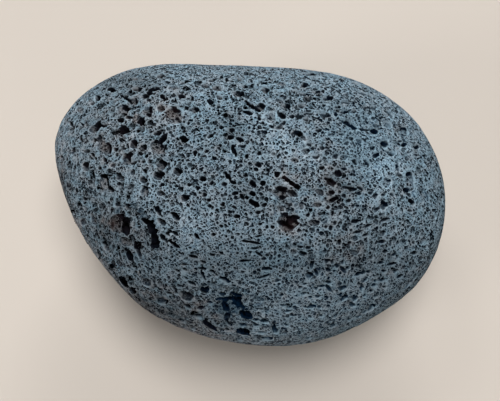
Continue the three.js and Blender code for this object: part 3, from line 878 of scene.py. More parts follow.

hollow = np.zeros(len(skin_place), np.float32)
in_pit = np.zeros(len(skin_place), np.float32)
depth_by_width = np.zeros(len(skin_place), np.float32)
within_painted_shadow = np.full(len(skin_place), -NO_PIT_NEAR, np.float32)
beyond_pit = np.full(len(skin_place), NO_PIT_NEAR, np.float32)
for pit in pits:
    reach = pit["radius"] * MOST_REACH + NO_PIT_NEAR
    near = np.flatnonzero(((skin_place - np.array(pit["point"])) ** 2).sum(1) < reach**2)
    place = (skin_place[near] - np.array(pit["middle"])) @ pit["to_unit"].T
    place[:, 0] += WARP * warp_a[near]
    place[:, 1] += WARP * warp_b[near]
    across = 1 - place[:, 0] ** 2 - place[:, 1] ** 2
    half = np.sqrt(np.maximum(across, 0))
    inside = (across > 0) & (np.abs(place[:, 2]) < half)
    lean = (skin_place[near] - np.array(pit["point"])) @ np.array(LEAN_WAY) / pit["radius"]
    far_wall = (place[:, 2] + half) * pit["half_deep"]
    deep = np.where(inside, far_wall * (1 + LEAN * np.clip(lean, -1, 1)), 0)
    hollow[near] = np.maximum(hollow[near], deep)
    if pit["half_deep"] <= SHALLOWEST_PIT * pit["radius"]:
        continue
    in_pit[near] = np.maximum(in_pit[near], deep)
    depth_by_width[near] = np.maximum(depth_by_width[near], deep / pit["narrow"])
    beyond = (np.sqrt((place**2).sum(1)) - 1) * pit["radius"]
    beyond_pit[near] = np.minimum(beyond_pit[near], beyond)
    start = PAINTED_SHADOW_START - PAINTED_SHADOW_PER_DEPTH * pit["half_deep"] * (1 + SINK)
    past_start = (lean + PAINTED_SHADOW_STRAY * warp_b[near] - start) * pit["radius"]
    within_painted_shadow[near] = np.maximum(within_painted_shadow[near], np.minimum(ROUND_THE_MOUTH - beyond, past_start))

carved = skin_place - outward * hollow[:, None]
mesh.vertices.foreach_set("co", np.ascontiguousarray(carved * MM, np.float32).ravel())
mesh.update()
facing = read(mesh.vertex_normals, "vector", 3)
steep = 1 - np.einsum("ij,ij->i", facing, outward)
print(f"deepest pit {hollow.max():.1f} mm; pits cover {np.mean(hollow > 0.05):.0%} of the skin")

# %% [markdown]
# How the froth changes over the stone. The narrow end and the lower front are full of middling bubbles, and
# the middle of the front is almost without. These are soft patches, given by the same measures as the pits:
# how far right and up they lie, their half width and half height, and how strong they are.

# %% Patches of coarser and finer froth
COARSE_PATCHES = [
    (-45, 18, 26, 24, 1.0),
    (-42, -10, 16, 20, 0.9),
    (-12, -36, 26, 12, 1.0),
    (5, 31, 34, 10, 0.8),
    (47, 4, 12, 22, 0.6),
    (10, -4, 10, 10, 0.4),
    (-57, 8, 6, 16, 0.6),
]
FINE_PATCHES = [
    (-8, -17, 22, 9, 1.0),
    (28, -33, 20, 8, 0.6),
    (-4, -38, 22, 7, 0.3),
    (22, 14, 16, 8, 0.3),
]


def patches(places, patch_list):
    """A mask from 0 to 1, summed from soft patches."""
    from_target = places - np.array(VIEW_TARGET / MM)
    right = from_target @ np.array(seen_right)
    up = from_target @ np.array(seen_up)
    mask = np.zeros(len(places))
    for to_right, to_up, half_width, half_height, strength in patch_list:
        away = ((right - to_right) / half_width) ** 2 + ((up - to_up) / half_height) ** 2
        mask += strength * np.exp(-away)
    return np.minimum(mask, 1)


coarse_spots = patches(skin_place, COARSE_PATCHES)
fine_spots = patches(skin_place, FINE_PATCHES)
print(f"coarse patches on {np.mean(coarse_spots > 0.5):.0%}, fine ones on {np.mean(fine_spots > 0.5):.0%}")

# %% [markdown]
# Lighter and darker parts. The light spots are knobs that stand out a little and are scuffed. The froth is
# finer there, and coarser where the stone is dark. The two strong dark patches at the ends are painted
# shade, which damps the light that the low lamps throw on the flanks.

# %% Light and dark patches
LIGHT_PATCHES = [
    (10, 15, 4.5, 4.5, 0.9),
    (3.7, 22.5, 4, 4, 0.6),
    (38.5, 6.5, 6, 5.5, 1.0),
    (17, 9.5, 3.5, 3.5, 0.4),
    (-46, 9, 5, 5, 0.2),
    (-57, 17, 4, 8, 0.4),
    (-15.5, -6.5, 5, 4, 0.5),
    (-26, 1.5, 4.5, 4, 0.4),
    (54, -6.5, 5, 8, 0.5),
    (42, -4, 14, 12, 0.3),
]
DARK_TONE_AND_SHADE_PATCHES = [
    (-42, 37, 9, 4, 0.6),
    (-31, 34, 6, 4, 0.5),
    (-4.6, 20.3, 4.5, 4.5, 0.6),
    (-1, 1, 4, 4, 0.6),
    (23, 4.8, 4, 6, 0.7),
    (28, 29, 4, 3, 0.4),
    (-43, -8, 5, 5, 0.5),
    (-29, -11, 5, 6, 0.6),
    (-26, -31, 18, 7, 0.8),
    (-7, -32, 5, 3, 0.8),
    (15, -16.5, 12, 5, 0.4),
    (40, -19, 11, 7, 0.4),
    (5, -28, 55, 12, 0.25),
    (-6, -16, 14, 5, 0.35),
    # painted shade on the left flank, where the low lamp grazes it
    (-58, 4, 4, 9, 1.0),
    (-46, 3, 4, 4, 0.3),
    (12, -15, 30, 5, 0.2),
    (32, -12, 8, 6, 0.25),
    # painted shade on the right flank, where the low lamp grazes it
    (59, -15, 4, 12, 1.0),
    (0, 40, 50, 4, 0.3),
    (-39, 28, 8, 6, 0.3),
    (-46, 18, 5, 10, 0.3),
    (-40, -9, 6, 6, 0.5),
    (14, 27, 8, 6, 0.25),
    (-24, -22, 14, 10, 0.35),
    (-37, -11, 9, 9, 0.35),
]
COARSER_IN_THE_DARK = 0.3
FINER_IN_THE_LIGHT = 0.5

lightness = patches(skin_place, LIGHT_PATCHES) - patches(skin_place, DARK_TONE_AND_SHADE_PATCHES)
coarse = np.clip(coarse_spots - COARSER_IN_THE_DARK * lightness, 0, 1)
fine = np.clip(fine_spots + FINER_IN_THE_LIGHT * lightness, 0, 1)
print(f"coarse froth on {np.mean(coarse > 0.5):.0%}, fine froth on {np.mean(fine > 0.5):.0%} of the skin")

# %% [markdown]
# Warm and cool parts. The skin is warmer where it faces down, the more, the nearer to the narrow end, and
# brown dust lies in the pits. Some pits are bluish instead, and a few parts of the skin are cooler than the
# rest.

# %% Brown and blue patches
BROWN_PATCHES = [
    (-40, -6.5, 3, 3, 1.0),
    (-32, -10, 4, 5, 0.3),
    (10, 6, 3.5, 4, 0.6),
    (10.5, -7, 3, 3, 0.8),
    (22, 5, 4, 8, 0.6),
    (26, -14, 5, 5, 0.4),
    (-27, -26, 8, 4, 0.5),
    (-16, -29, 4, 3, 0.6),
    (-13, -35, 8, 6, 0.35),
    (-24, 26, 4, 4, 0.7),
    (-38, 16, 12, 12, 0.3),
    (-58, 8, 4, 14, 0.5),
    (-54, -8, 5, 5, 0.6),
]
COOL_PATCHES = [
    (31, 15, 8, 10, 0.35),
    (50, 3, 9, 16, 0.15),
    (6, -15, 8, 5, 0.2),
    (-10, 22, 8, 8, 0.12),
    (10, 33, 20, 8, 0.1),
]
BLUE_PIT_PATCHES = [
    (0, -33, 40, 14, 0.8),
    (30, -25, 25, 15, 0.6),
    (38, 18, 22, 20, 0.6),
]
USUAL_WARMTH = 0.22
DOWNWARD_WARMTH = 0.9
BROWN_WARMTH = 0.5
RUDDY_WARMTH = 0.15
PIT_WARMTH = 0.45
WARM_BELOW_FACING = 0.35  # how far the skin may face up where the warmth below begins, from -1 for down to 1 for up
DOWNWARD_WARMTH_GROWS = 0.65  # how much further down it faces where that warmth is full
DOWNWARD_WARMTH_ENDS = 30  # millimetres right of the stone's middle
DOWNWARD_WARMTH_FADES = 60  # millimetres over which that warmth grows from nothing there to its full share
RUDDY_SIZE = 3.0  # millimetres from one ruddy speck to the next
RUDDY_SEED = 5
RUDDY_IN_BROWN = 0.5
FULL_PIT = 0.8  # millimetres, how deep a pit is where its warmth is full

brown = patches(skin_place, BROWN_PATCHES)
blue = patches(skin_place, BLUE_PIT_PATCHES)
ruddy = wave_noise(skin_place, RUDDY_SIZE, RUDDY_SEED)
# warmer where the skin faces down, the more towards the narrow end
facing_down = np.clip((WARM_BELOW_FACING - outward[:, 2]) / DOWNWARD_WARMTH_GROWS, 0, 1)
warmer_below = facing_down * np.clip((DOWNWARD_WARMTH_ENDS - skin_place[:, 0]) / DOWNWARD_WARMTH_FADES, 0, 1)
pit_dust = np.clip(in_pit / FULL_PIT, 0, 1) * (1 - 2 * blue)
warmth = USUAL_WARMTH + DOWNWARD_WARMTH * warmer_below + BROWN_WARMTH * brown * (1 + RUDDY_IN_BROWN * ruddy)
warmth += RUDDY_WARMTH * ruddy + PIT_WARMTH * pit_dust - patches(skin_place, COOL_PATCHES)
print(f"warm on {np.mean(warmth > 0.5):.0%} of the skin")

# %% [markdown]
# Each point of the mesh carries what was worked out for it as attributes, for the cutting and the material
# alike. An attribute goes with its point, so a mask stays where it belongs when the mesh is cut and
# thinned.


# %% Values that each point carries
def store(name, kind, values):
    """Gives each point of the fine mesh a value of its own, under a name."""
    attribute = mesh.attributes.new(name, kind, "POINT")
    field = "vector" if kind == "FLOAT_VECTOR" else "value"
    attribute.data.foreach_set(field, np.ascontiguousarray(values, np.float32).ravel())


masks = {
    "in_pit": in_pit,
    "depth_by_width": depth_by_width,
    "steep": steep,
    "within_painted_shadow": within_painted_shadow,
    "beyond_pit": beyond_pit,
    "coarse": coarse,
    "fine": fine,
    "lightness": lightness,
    "warmth": np.clip(warmth, 0, 1),
    "brown": brown,
    "blue": blue,
}
store("froth_place", "FLOAT_VECTOR", carved)
store("facing", "FLOAT_VECTOR", facing)
for name, values in masks.items():
    store(name, "FLOAT", values)
print("each point carries", ", ".join(masks))

# %% [markdown]
# The froth itself. A Voronoi texture scatters points through space, one to a cell. A ball round each of
# them is a bubble, and where the skin cuts the ball, it is open as a pore: wide and shallow if the ball's
# middle lies above the skin, narrow and deep if it lies below. Each layer of bubbles is smaller than the
# one before, and is cut into the walls that the ones before left. The same few nodes work in a geometry
# tree, which cuts the larger pores in the mesh, and in a shader tree, which colours them and adds the
# finest. So both have the same pores.


# %% Helpers for nodes
def feed(tree, socket, value):
    """Links an output to a socket, or sets the socket to a plain value."""
    if isinstance(value, bpy.types.NodeSocket):
        tree.links.new(value, socket)
    else:
        socket.default_value = value


def maths(tree, operation, *values, clamp=False):
    """A Math node on one to three values."""
    made = tree.nodes.new("ShaderNodeMath")
    made.operation = operation
    made.use_clamp = clamp
    for socket, value in zip(made.inputs, values):
        feed(tree, socket, value)
    return made.outputs[0]


def vectors(tree, operation, *values):
    """A Vector Math node on one to three vectors."""
    made = tree.nodes.new("ShaderNodeVectorMath")
    made.operation = operation
    for socket, value in zip(made.inputs, values):
        feed(tree, socket, value)
    return made.outputs["Value" if operation in ("DOT_PRODUCT", "LENGTH") else "Vector"]


def scaled(tree, vector, factor):
    """A vector or a colour, made longer or brighter by a factor."""
    made = tree.nodes.new("ShaderNodeVectorMath")
    made.operation = "SCALE"
    feed(tree, made.inputs["Vector"], vector)
    feed(tree, made.inputs["Scale"], factor)
    return made.outputs["Vector"]


def noise(tree, place, size, detail=2.0, roughness=0.5):
    """A soft noise from 0 to 1 and its colour, with humps about as far apart as size, in millimetres."""
    made = tree.nodes.new("ShaderNodeTexNoise")
    feed(tree, made.inputs["Vector"], place)
    made.inputs["Scale"].default_value = 1 / size
    made.inputs["Detail"].default_value = detail
    made.inputs["Roughness"].default_value = roughness
    return made.outputs["Fac"], made.outputs["Color"]


def ramp(tree, value, low, high, to_low=0.0, to_high=1.0, curve="SMOOTHSTEP"):
    """Runs smoothly from one value to another as the input goes from low to high."""
    made = tree.nodes.new("ShaderNodeMapRange")
    made.interpolation_type = curve
    feed(tree, made.inputs["Value"], value)
    made.inputs["From Min"].default_value = low
    made.inputs["From Max"].default_value = high
    made.inputs["To Min"].default_value = to_low
    made.inputs["To Max"].default_value = to_high
    return made.outputs["Result"]


# %% [markdown]
# Straying. A bubble in lava is never quite round. The froth is taken from places that a soft noise has
# moved a little, so that each ball in it comes out bent.

# %% Bent bubbles
STRAYS = ((2.4, 0.55), (0.8, 0.6))  # millimetres between bends, and how far they go


def strayed(tree, place):
    """The place, moved a little, so that the bubbles are not quite round."""
    for size, way in STRAYS:
        _, colour = noise(tree, place, size, 2.0)
        centred = vectors(tree, "SUBTRACT", colour, (0.5, 0.5, 0.5))
        place = vectors(tree, "MULTIPLY_ADD", centred, (way, way, way), place)
    return place


# %% [markdown]
# Where the froth may be cut. Pores would fray the edges of the pits and roughen their walls, so fewer are
# cut there.

# %% Walls that are kept
RIM_WIDTH = 0.25  # millimetres of solid wall kept round a bubble's mouth
WEAKEST_RIM = 0.5  # how much of a pit's edge may be cut away by pores, as a share
STEEP_FROM, STEEP_TO = 0.05, 0.4  # how steep a pit's wall is where pores grow fewer, and where none are left


def solid_wall(tree, beyond_value, steep_value):
    """How much of the skin may be cut, from 0 to 1. The pits keep their edges and their steep walls."""
    at_edge = ramp(tree, maths(tree, "ABSOLUTE", beyond_value), 0.0, RIM_WIDTH, WEAKEST_RIM, 1.0)
    return maths(tree, "MULTIPLY", at_edge, ramp(tree, steep_value, STEEP_FROM, STEEP_TO, 1.0, 0.0))


# %% [markdown]
# One layer. A Voronoi cell's colour is random, so one of its parts gives each bubble a size of its own. The
# way down to the bubble's far wall follows from its radius and from how far the point lies above its
# middle, as in any ball that a straight line passes through. Round the mouth a narrow rim is kept, which
# the next layer leaves alone.

# %% A layer of bubbles
PORE_LEAN = 0.7  # how much deeper a pore is at its leaning end, as a share
WALL_TURN = 0.6  # how far the next layer's pores turn to face out of the wall that they lie in
GROWTH_SPACINGS = 4  # how many bubbles' spacings lie between patches of larger and smaller ones
LEAST_GROWTH, MOST_GROWTH = 0.75, 1.2
SHALLOW_SIDE = (-0.7, 0.3)  # how far towards the leaning end it is full, and where it ends, in radii


def bubble_layer(tree, place, out, solid, layer, coarse_value, fine_value):
    """One layer of bubbles cut into a wall.

    place and out are the wall's points and the way it faces, and solid, from 0 to 1, is how much of it may be
    cut. The outcome has the new place, out and solid, how far the place lies beyond the nearest bubble's edge
    and whether it is inside, how open that bubble is to the sky, and how near its shallow side this is.
    """
    moved = vectors(tree, "ADD", place, (layer["shift"], 2 * layer["shift"], -layer["shift"]))
    cells = tree.nodes.new("ShaderNodeTexVoronoi")
    feed(tree, cells.inputs["Vector"], moved)
    spacing = layer["spacing"]
    cells.inputs["Scale"].default_value = 1 / spacing
    luck = vectors(tree, "DOT_PRODUCT", cells.outputs["Color"], (1, 0, 0))
    luck = maths(tree, "POWER", luck, layer["bias"])
    smallest, largest = layer["radius"]
    radius = maths(tree, "MULTIPLY_ADD", luck, spacing * (largest - smallest), spacing * smallest)
    grown = maths(tree, "MULTIPLY_ADD", coarse_value, layer["coarse"], layer["plain"])
    grown = maths(tree, "MULTIPLY_ADD", fine_value, -layer["fine"], grown)
    growth, _ = noise(tree, moved, spacing * GROWTH_SPACINGS, 1.0)
    grown = maths(tree, "MULTIPLY", grown, ramp(tree, growth, 0.3, 0.7, LEAST_GROWTH, MOST_GROWTH))
    radius = maths(tree, "MULTIPLY", maths(tree, "MULTIPLY", radius, grown), solid)
    radius = maths(tree, "MAXIMUM", radius, TINY)
    from_middle = vectors(tree, "SUBTRACT", moved, cells.outputs["Position"])
    above = vectors(tree, "DOT_PRODUCT", from_middle, out)
    away = vectors(tree, "LENGTH", from_middle)
    beyond = maths(tree, "SUBTRACT", away, radius)
    inside = maths(tree, "LESS_THAN", beyond, 0.0)
    room = maths(tree, "SUBTRACT", maths(tree, "POWER", radius, 2.0), maths(tree, "POWER", away, 2.0))
    half = maths(tree, "SQRT", maths(tree, "MAXIMUM", maths(tree, "MULTIPLY_ADD", above, above, room), 0.0))
    deep = maths(tree, "MULTIPLY", maths(tree, "MAXIMUM", maths(tree, "ADD", above, half), 0.0), inside)
    slant = maths(tree, "DIVIDE", vectors(tree, "DOT_PRODUCT", from_middle, LEAN_WAY), radius)
    leaning = ramp(tree, slant, -1.0, 1.0, 1 - PORE_LEAN, 1 + PORE_LEAN, "LINEAR")
    deep = maths(tree, "MULTIPLY", deep, leaning)
    step = scaled(tree, out, deep)
    to_wall = vectors(tree, "SUBTRACT", step, from_middle)
    open_share = maths(tree, "MULTIPLY_ADD", maths(tree, "DIVIDE", above, radius), -0.5, 0.5, clamp=True)
    turn = vectors(tree, "SUBTRACT", vectors(tree, "NORMALIZE", to_wall), out)
    turn = scaled(tree, turn, maths(tree, "MULTIPLY", inside, WALL_TURN))
    rim = ramp(tree, beyond, 0.0, RIM_WIDTH)
    kept = maths(tree, "MAXIMUM", rim, inside)
    return {
        "place": vectors(tree, "SUBTRACT", place, step),
        "out": vectors(tree, "NORMALIZE", vectors(tree, "ADD", out, turn)),
        "solid": maths(tree, "MULTIPLY", solid, kept),
        "beyond": beyond,
        "open": open_share,
        "shallow_side": ramp(tree, slant, *SHALLOW_SIDE, 1.0, 0.0),
        "inside": inside,
    }


# %% [markdown]
# The layers. Each says how far apart its bubbles are, in millimetres, their smallest and largest radius as
# shares of that, and how strongly the small ones outnumber the large. Then it says how much of that size
# they have in plain froth, how much coarse froth adds and fine froth takes away, and where in space the
# layer is taken from.

# %% Layers of bubbles
LAYER_VALUES = ("spacing", "radius", "bias", "plain", "coarse", "fine", "shift")
CUT_ROWS = [
    (5.0, (0.05, 0.42), 1.4, 0.30, 0.70, 0.30, 3.0),
    (2.9, (0.10, 0.48), 1.1, 0.55, 0.60, 0.45, 11.0),
    (1.8, (0.15, 0.46), 1.0, 0.85, 0.25, 0.30, 23.0),
]
PAINTED_ROWS = [
    (1.10, (0.40, 0.60), 1.0, 1.0, 0.0, 0.3, 37.0),
    (0.70, (0.44, 0.64), 1.0, 1.0, 0.0, 0.2, 51.0),
]
CUT_LAYERS = [dict(zip(LAYER_VALUES, row)) for row in CUT_ROWS]
PAINTED_LAYERS = [dict(zip(LAYER_VALUES, row)) for row in PAINTED_ROWS]
print(f"{len(CUT_LAYERS)} layers to cut, {len(PAINTED_LAYERS)} to paint")

# %% [markdown]
# Cutting. A geometry tree moves each point by as much as all the layers to cut have moved its place. The
# froth is worked out in millimetres and the mesh is in metres, hence the factor. A low swell keeps the skin
# from being even.


# %% Cut the pores
def attribute_in_geometry(tree, name, kind="FLOAT"):
    """What the points carry under a name, as a value in a geometry tree."""
    made = tree.nodes.new("GeometryNodeInputNamedAttribute")
    made.data_type = kind
    made.inputs["Name"].default_value = name
    return made.outputs["Attribute"]


SWELL_SIZE = 9.0  # millimetres from one swell to the next
SWELL = 0.5  # millimetres from the highest to the lowest

cutter = bpy.data.node_groups.new("cut pores", "GeometryNodeTree")
cutter.interface.new_socket("Geometry", in_out="INPUT", socket_type="NodeSocketGeometry")
cutter.interface.new_socket("Geometry", in_out="OUTPUT", socket_type="NodeSocketGeometry")
group_in = cutter.nodes.new("NodeGroupInput")
group_out = cutter.nodes.new("NodeGroupOutput")
froth_place = attribute_in_geometry(cutter, "froth_place", "FLOAT_VECTOR")
facing_out = attribute_in_geometry(cutter, "facing", "FLOAT_VECTOR")
coarse_value = attribute_in_geometry(cutter, "coarse")
fine_value = attribute_in_geometry(cutter, "fine")
beyond_value = attribute_in_geometry(cutter, "beyond_pit")
solid = solid_wall(cutter, beyond_value, attribute_in_geometry(cutter, "steep"))
start = strayed(cutter, froth_place)
now, out = start, facing_out
for layer in CUT_LAYERS:
    cut = bubble_layer(cutter, now, out, solid, layer, coarse_value, fine_value)
    now, out, solid = cut["place"], cut["out"], cut["solid"]
swell, _ = noise(cutter, froth_place, SWELL_SIZE, 3.0)
swell = maths(cutter, "MULTIPLY", maths(cutter, "SUBTRACT", swell, 0.5), SWELL * MM)
lift = scaled(cutter, facing_out, swell)
sink = scaled(cutter, vectors(cutter, "SUBTRACT", now, start), MM)
move = cutter.nodes.new("GeometryNodeSetPosition")
cutter.links.new(group_in.outputs[0], move.inputs["Geometry"])
cutter.links.new(vectors(cutter, "ADD", lift, sink), move.inputs["Offset"])
cutter.links.new(move.outputs[0], group_out.inputs[0])

apply_modifier(stone, "NODES", node_group=cutter)
mesh = stone.data
cut_place = read(mesh.vertices, "co", 3) / MM
drop = np.einsum("ij,ij->i", skin_place - cut_place, outward)
print(f"pores cut down to {drop.max():.1f} mm; half of the skin lies under {np.median(drop):.2f} mm")

# %% [markdown]
# Where two pores meet, a point may have been pushed far sideways or out through a thin wall, so how far it
# may go is limited. The stone lies on a worn flat, and no point goes below the surface that it lies on. The
# mesh is then thinned: Decimate takes triangles away where the form is nearly flat and keeps them where a
# pore's edge needs them.

# %% Worn flat and thinning
MOST_TRIANGLES = 196_000
MOST_SIDEWAYS = 0.6  # millimetres, so that no wall folds over on itself

shift = cut_place - carved
inward = np.einsum("ij,ij->i", shift, outward)
sideways = shift - outward * inward[:, None]
strayed_by = np.sqrt((sideways**2).sum(1))
sideways *= np.minimum(1, MOST_SIDEWAYS / np.maximum(strayed_by, MOST_SIDEWAYS))[:, None]
cut_place = carved + outward * np.minimum(inward, SWELL / 2)[:, None] + sideways
cut_place[:, 2] = np.maximum(cut_place[:, 2], 0)
mesh.vertices.foreach_set("co", np.ascontiguousarray(cut_place * MM, np.float32).ravel())
mesh.update()
apply_modifier(stone, "DECIMATE", ratio=min(1, MOST_TRIANGLES / len(mesh.polygons)))
mesh = stone.data
for point in mesh.vertices:
    _, nearest, normal, _ = skin.closest_point_on_mesh(point.co)
    outside = (point.co - nearest).dot(normal) - SWELL / 2 * MM
    if outside > 0:
        point.co -= normal * outside
    point.co.z = max(point.co.z, 0)
only(stone)
bpy.ops.object.shade_smooth()
for helper in (hull, skin):
    bpy.data.objects.remove(helper)
print(f"thinned to {len(mesh.polygons)} triangles")

# %% [markdown]
# The material. Fresh basalt is dark grey. The worn walls between the bubbles are scuffed and look light,
# bluish grey, and a bubble's edge is the lightest, partly scuffed and partly a painted highlight. The nodes
# read what the points carry, so the colours stay on the stone.

# %% Colours of the basalt
WALL_LIGHT = (0.137, 0.192, 0.241, 1)
WALL_DARK = (0.007, 0.015, 0.026, 1)
RIM_SCUFF_AND_HIGHLIGHT = (0.30, 0.37, 0.42, 1)
# the hollows' painted shade: nearly black, bluish or brown
HOLLOW_SHADE = (0.002, 0.003, 0.005, 1)
HOLLOW_BLUE_SHADE = (0.001, 0.006, 0.015, 1)
HOLLOW_BROWN_SHADE = (0.007, 0.004, 0.004, 1)
COOL_TINT = (0.86, 1.01, 1.07, 1)
WARM_TINT = (1.29, 0.98, 0.86, 1)


def mix_colours(tree, share, first, second, blend="MIX"):
    """The first colour at a share of 0 and the second at 1. MULTIPLY gives the first times the second."""
    made = tree.nodes.new("ShaderNodeMix")
    made.data_type = "RGBA"
    made.blend_type = blend
    feed(tree, made.inputs["Factor"], share)
    feed(tree, made.inputs[6], first)
    feed(tree, made.inputs[7], second)
    return made.outputs[2]


def carried(tree, name, output="Fac"):
    """What the points carry under a name, as a value in a material."""
    made = tree.nodes.new("ShaderNodeAttribute")
    made.attribute_name = name
    return made.outputs[output]


basalt = bpy.data.materials.new("vesicular_basalt")
basalt.use_nodes = True
tree = basalt.node_tree
shader = tree.nodes["Principled BSDF"]
place = carried(tree, "froth_place", "Vector")
facing_out = carried(tree, "facing", "Vector")
print("material", basalt.name)

# %% [markdown]
# Light in the pores, painted into the colour as shade. Light that falls into a round hollow bounces about in
# it and lights it evenly, the less, the narrower its mouth is. So a bubble that is hardly open is painted
# black, and one that is cut through its middle keeps some of the wall's colour. Its shallow side lies open
# to the light and is painted lighter. The layers that the mesh has are gone through in the same way as when
# they were cut, and then the finer ones, which are only here.

# %% Light in the pores
# How open a pore is where the painted light begins, how much light is painted into one that is wide open,
# the width of its light edge in millimetres, partly scuffed and partly a painted highlight, and how strongly
# its dent shows.
CUT_LOOK = {"lit_from": 0.1, "lit": 0.65, "edge": 0.45, "dent": 1.2}
PAINTED_LOOK = {"lit_from": 0.35, "lit": 0.7, "edge": 0.24, "dent": 1.5}
SHALLOW_SIDE_LIT = 0.8
PIT_EDGE_SCUFF_AND_HIGHLIGHT = 0.6  # millimetres, the width of the light edge round a pit, partly scuffed and partly a painted highlight
PIT_BLUR = (-0.2, 0.05)  # millimetres beyond the mouth's edge where a pit is full, and where it ends

beyond_value = carried(tree, "beyond_pit")
within_pit = ramp(tree, beyond_value, *PIT_BLUR, 1.0, 0.0)
coarse_value = carried(tree, "coarse")
fine_value = carried(tree, "fine")
solid = solid_wall(tree, beyond_value, carried(tree, "steep"))
out = vectors(tree, "NORMALIZE", facing_out)
now = strayed(tree, place)
light = 1.0
edge = maths(tree, "SUBTRACT", ramp(tree, beyond_value, 0.0, PIT_EDGE_SCUFF_AND_HIGHLIGHT, 1.0, 0.0), within_pit, clamp=True)
dent = 0.0
for layer in CUT_LAYERS + PAINTED_LAYERS:
    look = PAINTED_LOOK if layer in PAINTED_LAYERS else CUT_LOOK
    cut = bubble_layer(tree, now, out, solid, layer, coarse_value, fine_value)
    now, out, solid = cut["place"], cut["out"], cut["solid"]
    let_in = ramp(tree, cut["open"], look["lit_from"], 1.0, 0.0, look["lit"])
    dimming = maths(tree, "MULTIPLY_ADD", cut["shallow_side"], -SHALLOW_SIDE_LIT, 1.0)
    dimming = maths(tree, "MULTIPLY", dimming, maths(tree, "SUBTRACT", let_in, 1.0))
    # painted shade inside each pore, lighter on its shallow side
    light = maths(tree, "MULTIPLY", light, maths(tree, "MULTIPLY_ADD", cut["inside"], dimming, 1.0))
    near_edge = ramp(tree, cut["beyond"], 0.0, look["edge"], 1.0, 0.0)
    near_edge = maths(tree, "MULTIPLY", near_edge, maths(tree, "SUBTRACT", 1.0, cut["inside"]))
    edge = maths(tree, "MAXIMUM", edge, near_edge)
    dish = maths(tree, "MULTIPLY", cut["inside"], maths(tree, "SUBTRACT", 0.0, cut["beyond"]))
    dent = maths(tree, "MULTIPLY_ADD", dish, look["dent"], dent)
print(f"{len(tree.nodes)} nodes for the pores")

# %% [markdown]
# Light in the pits, painted into the colour. A pit is the darker, the deeper it lies for its width: painted
# shade. Where its bubble would run on under the skin it is black: a painted shadow. Every pit is a little
# darker inside, partly painted shade and partly its darker, unworn stone. Brown pits are dimmer still,
# because the dust in them is dull.

# %% Light in the pits
DIM_FROM, DIM_TO = 0.4, 1.7  # depth as a share of the half width, from the first dimming to the last
DEEPEST_LIGHT = 0.1
PAINTED_SHADOW_BLUR = 0.15  # millimetres on either side of the painted shadow's edge
PAINTED_SHADOW_FROM, PAINTED_SHADOW_TO = 0.03, 0.3  # millimetres of depth, over which a pit's floor may begin to take the painted shadow
DARKEST_PAINTED_SHADOW = 0.99
PIT_DIMMING = 0.2
BROWN_DIMMING = 0.6

# painted shade: the deeper a pit lies for its width, the darker it is
dimmed = ramp(tree, carried(tree, "depth_by_width"), DIM_FROM, DIM_TO, 1.0, DEEPEST_LIGHT, "LINEAR")
# painted shadow where the bubble would run on under the skin
painted_shadow = ramp(tree, carried(tree, "within_painted_shadow"), -PAINTED_SHADOW_BLUR, PAINTED_SHADOW_BLUR, 0.0, 1.0)
by_depth = ramp(tree, carried(tree, "in_pit"), PAINTED_SHADOW_FROM, PAINTED_SHADOW_TO, 0.0, DARKEST_PAINTED_SHADOW)
painted_shadow = maths(tree, "MULTIPLY", painted_shadow, by_depth)
# every pit dimmed inside, partly painted shade and partly darker unworn stone; brown ones more
dim_pit = maths(tree, "MULTIPLY_ADD", carried(tree, "brown"), -BROWN_DIMMING, -PIT_DIMMING)
dim_pit = maths(tree, "MULTIPLY_ADD", within_pit, dim_pit, 1.0)
for factor in (dimmed, maths(tree, "SUBTRACT", 1.0, painted_shadow), dim_pit):
    light = maths(tree, "MULTIPLY", light, factor)
print("light in the pits from 1 down to", DEEPEST_LIGHT)

# %% [markdown]
# Colour. The wall runs from dark to light with the grain and the mottle, its edges are lighter, partly
# scuffed and partly a painted highlight, and the patches lighten or darken it, two of them as painted shade.
# The hollows are painted nearly black as shade, some bluish and some brown. The painted light of the pores
# and pits sets how much of either shows, and at last all of it is tinted warm or cool.

# %% Colour of the stone
GRAIN_SIZE = 0.5  # millimetres
GRAIN_SHARE = 4.6
MOTTLE_SIZE = 4.0  # millimetres
MOTTLE_SHARE = 1.6
TONE_OFFSET = -2.75  # puts the middle of the grain and the mottle together between dark and light
RIM_SCUFF_AND_HIGHLIGHT_SHARE = 0.68
ROUGHNESS = 0.85
DARKEST_PATCH, LIGHTEST_PATCH = 0.5, 1.5
MURK_SIZE = 1.6  # millimetres
LEAST_MURK, MOST_MURK = 0.2, 2.2

grain, _ = noise(tree, now, GRAIN_SIZE, 3.0, 0.8)
mottle, _ = noise(tree, place, MOTTLE_SIZE, 4.0, 0.6)
tone = maths(tree, "MULTIPLY_ADD", mottle, MOTTLE_SHARE, TONE_OFFSET)
tone = maths(tree, "MULTIPLY_ADD", grain, GRAIN_SHARE, tone, clamp=True)
wall = mix_colours(tree, tone, WALL_DARK, WALL_LIGHT)
# lighter edges: partly scuffed, partly a painted highlight
wall = mix_colours(tree, maths(tree, "MULTIPLY", edge, RIM_SCUFF_AND_HIGHLIGHT_SHARE), wall, RIM_SCUFF_AND_HIGHLIGHT)
patch = ramp(tree, carried(tree, "lightness"), -1.0, 1.0, DARKEST_PATCH, LIGHTEST_PATCH, "LINEAR")
wall = scaled(tree, wall, patch)
hollow_shade_colour = mix_colours(tree, carried(tree, "blue"), HOLLOW_SHADE, HOLLOW_BLUE_SHADE)
hollow_shade_colour = mix_colours(tree, carried(tree, "brown"), hollow_shade_colour, HOLLOW_BROWN_SHADE)
murk, _ = noise(tree, place, MURK_SIZE, 3.0, 0.6)
hollow_shade_colour = scaled(tree, hollow_shade_colour, ramp(tree, murk, 0.35, 0.65, LEAST_MURK, MOST_MURK, "LINEAR"))
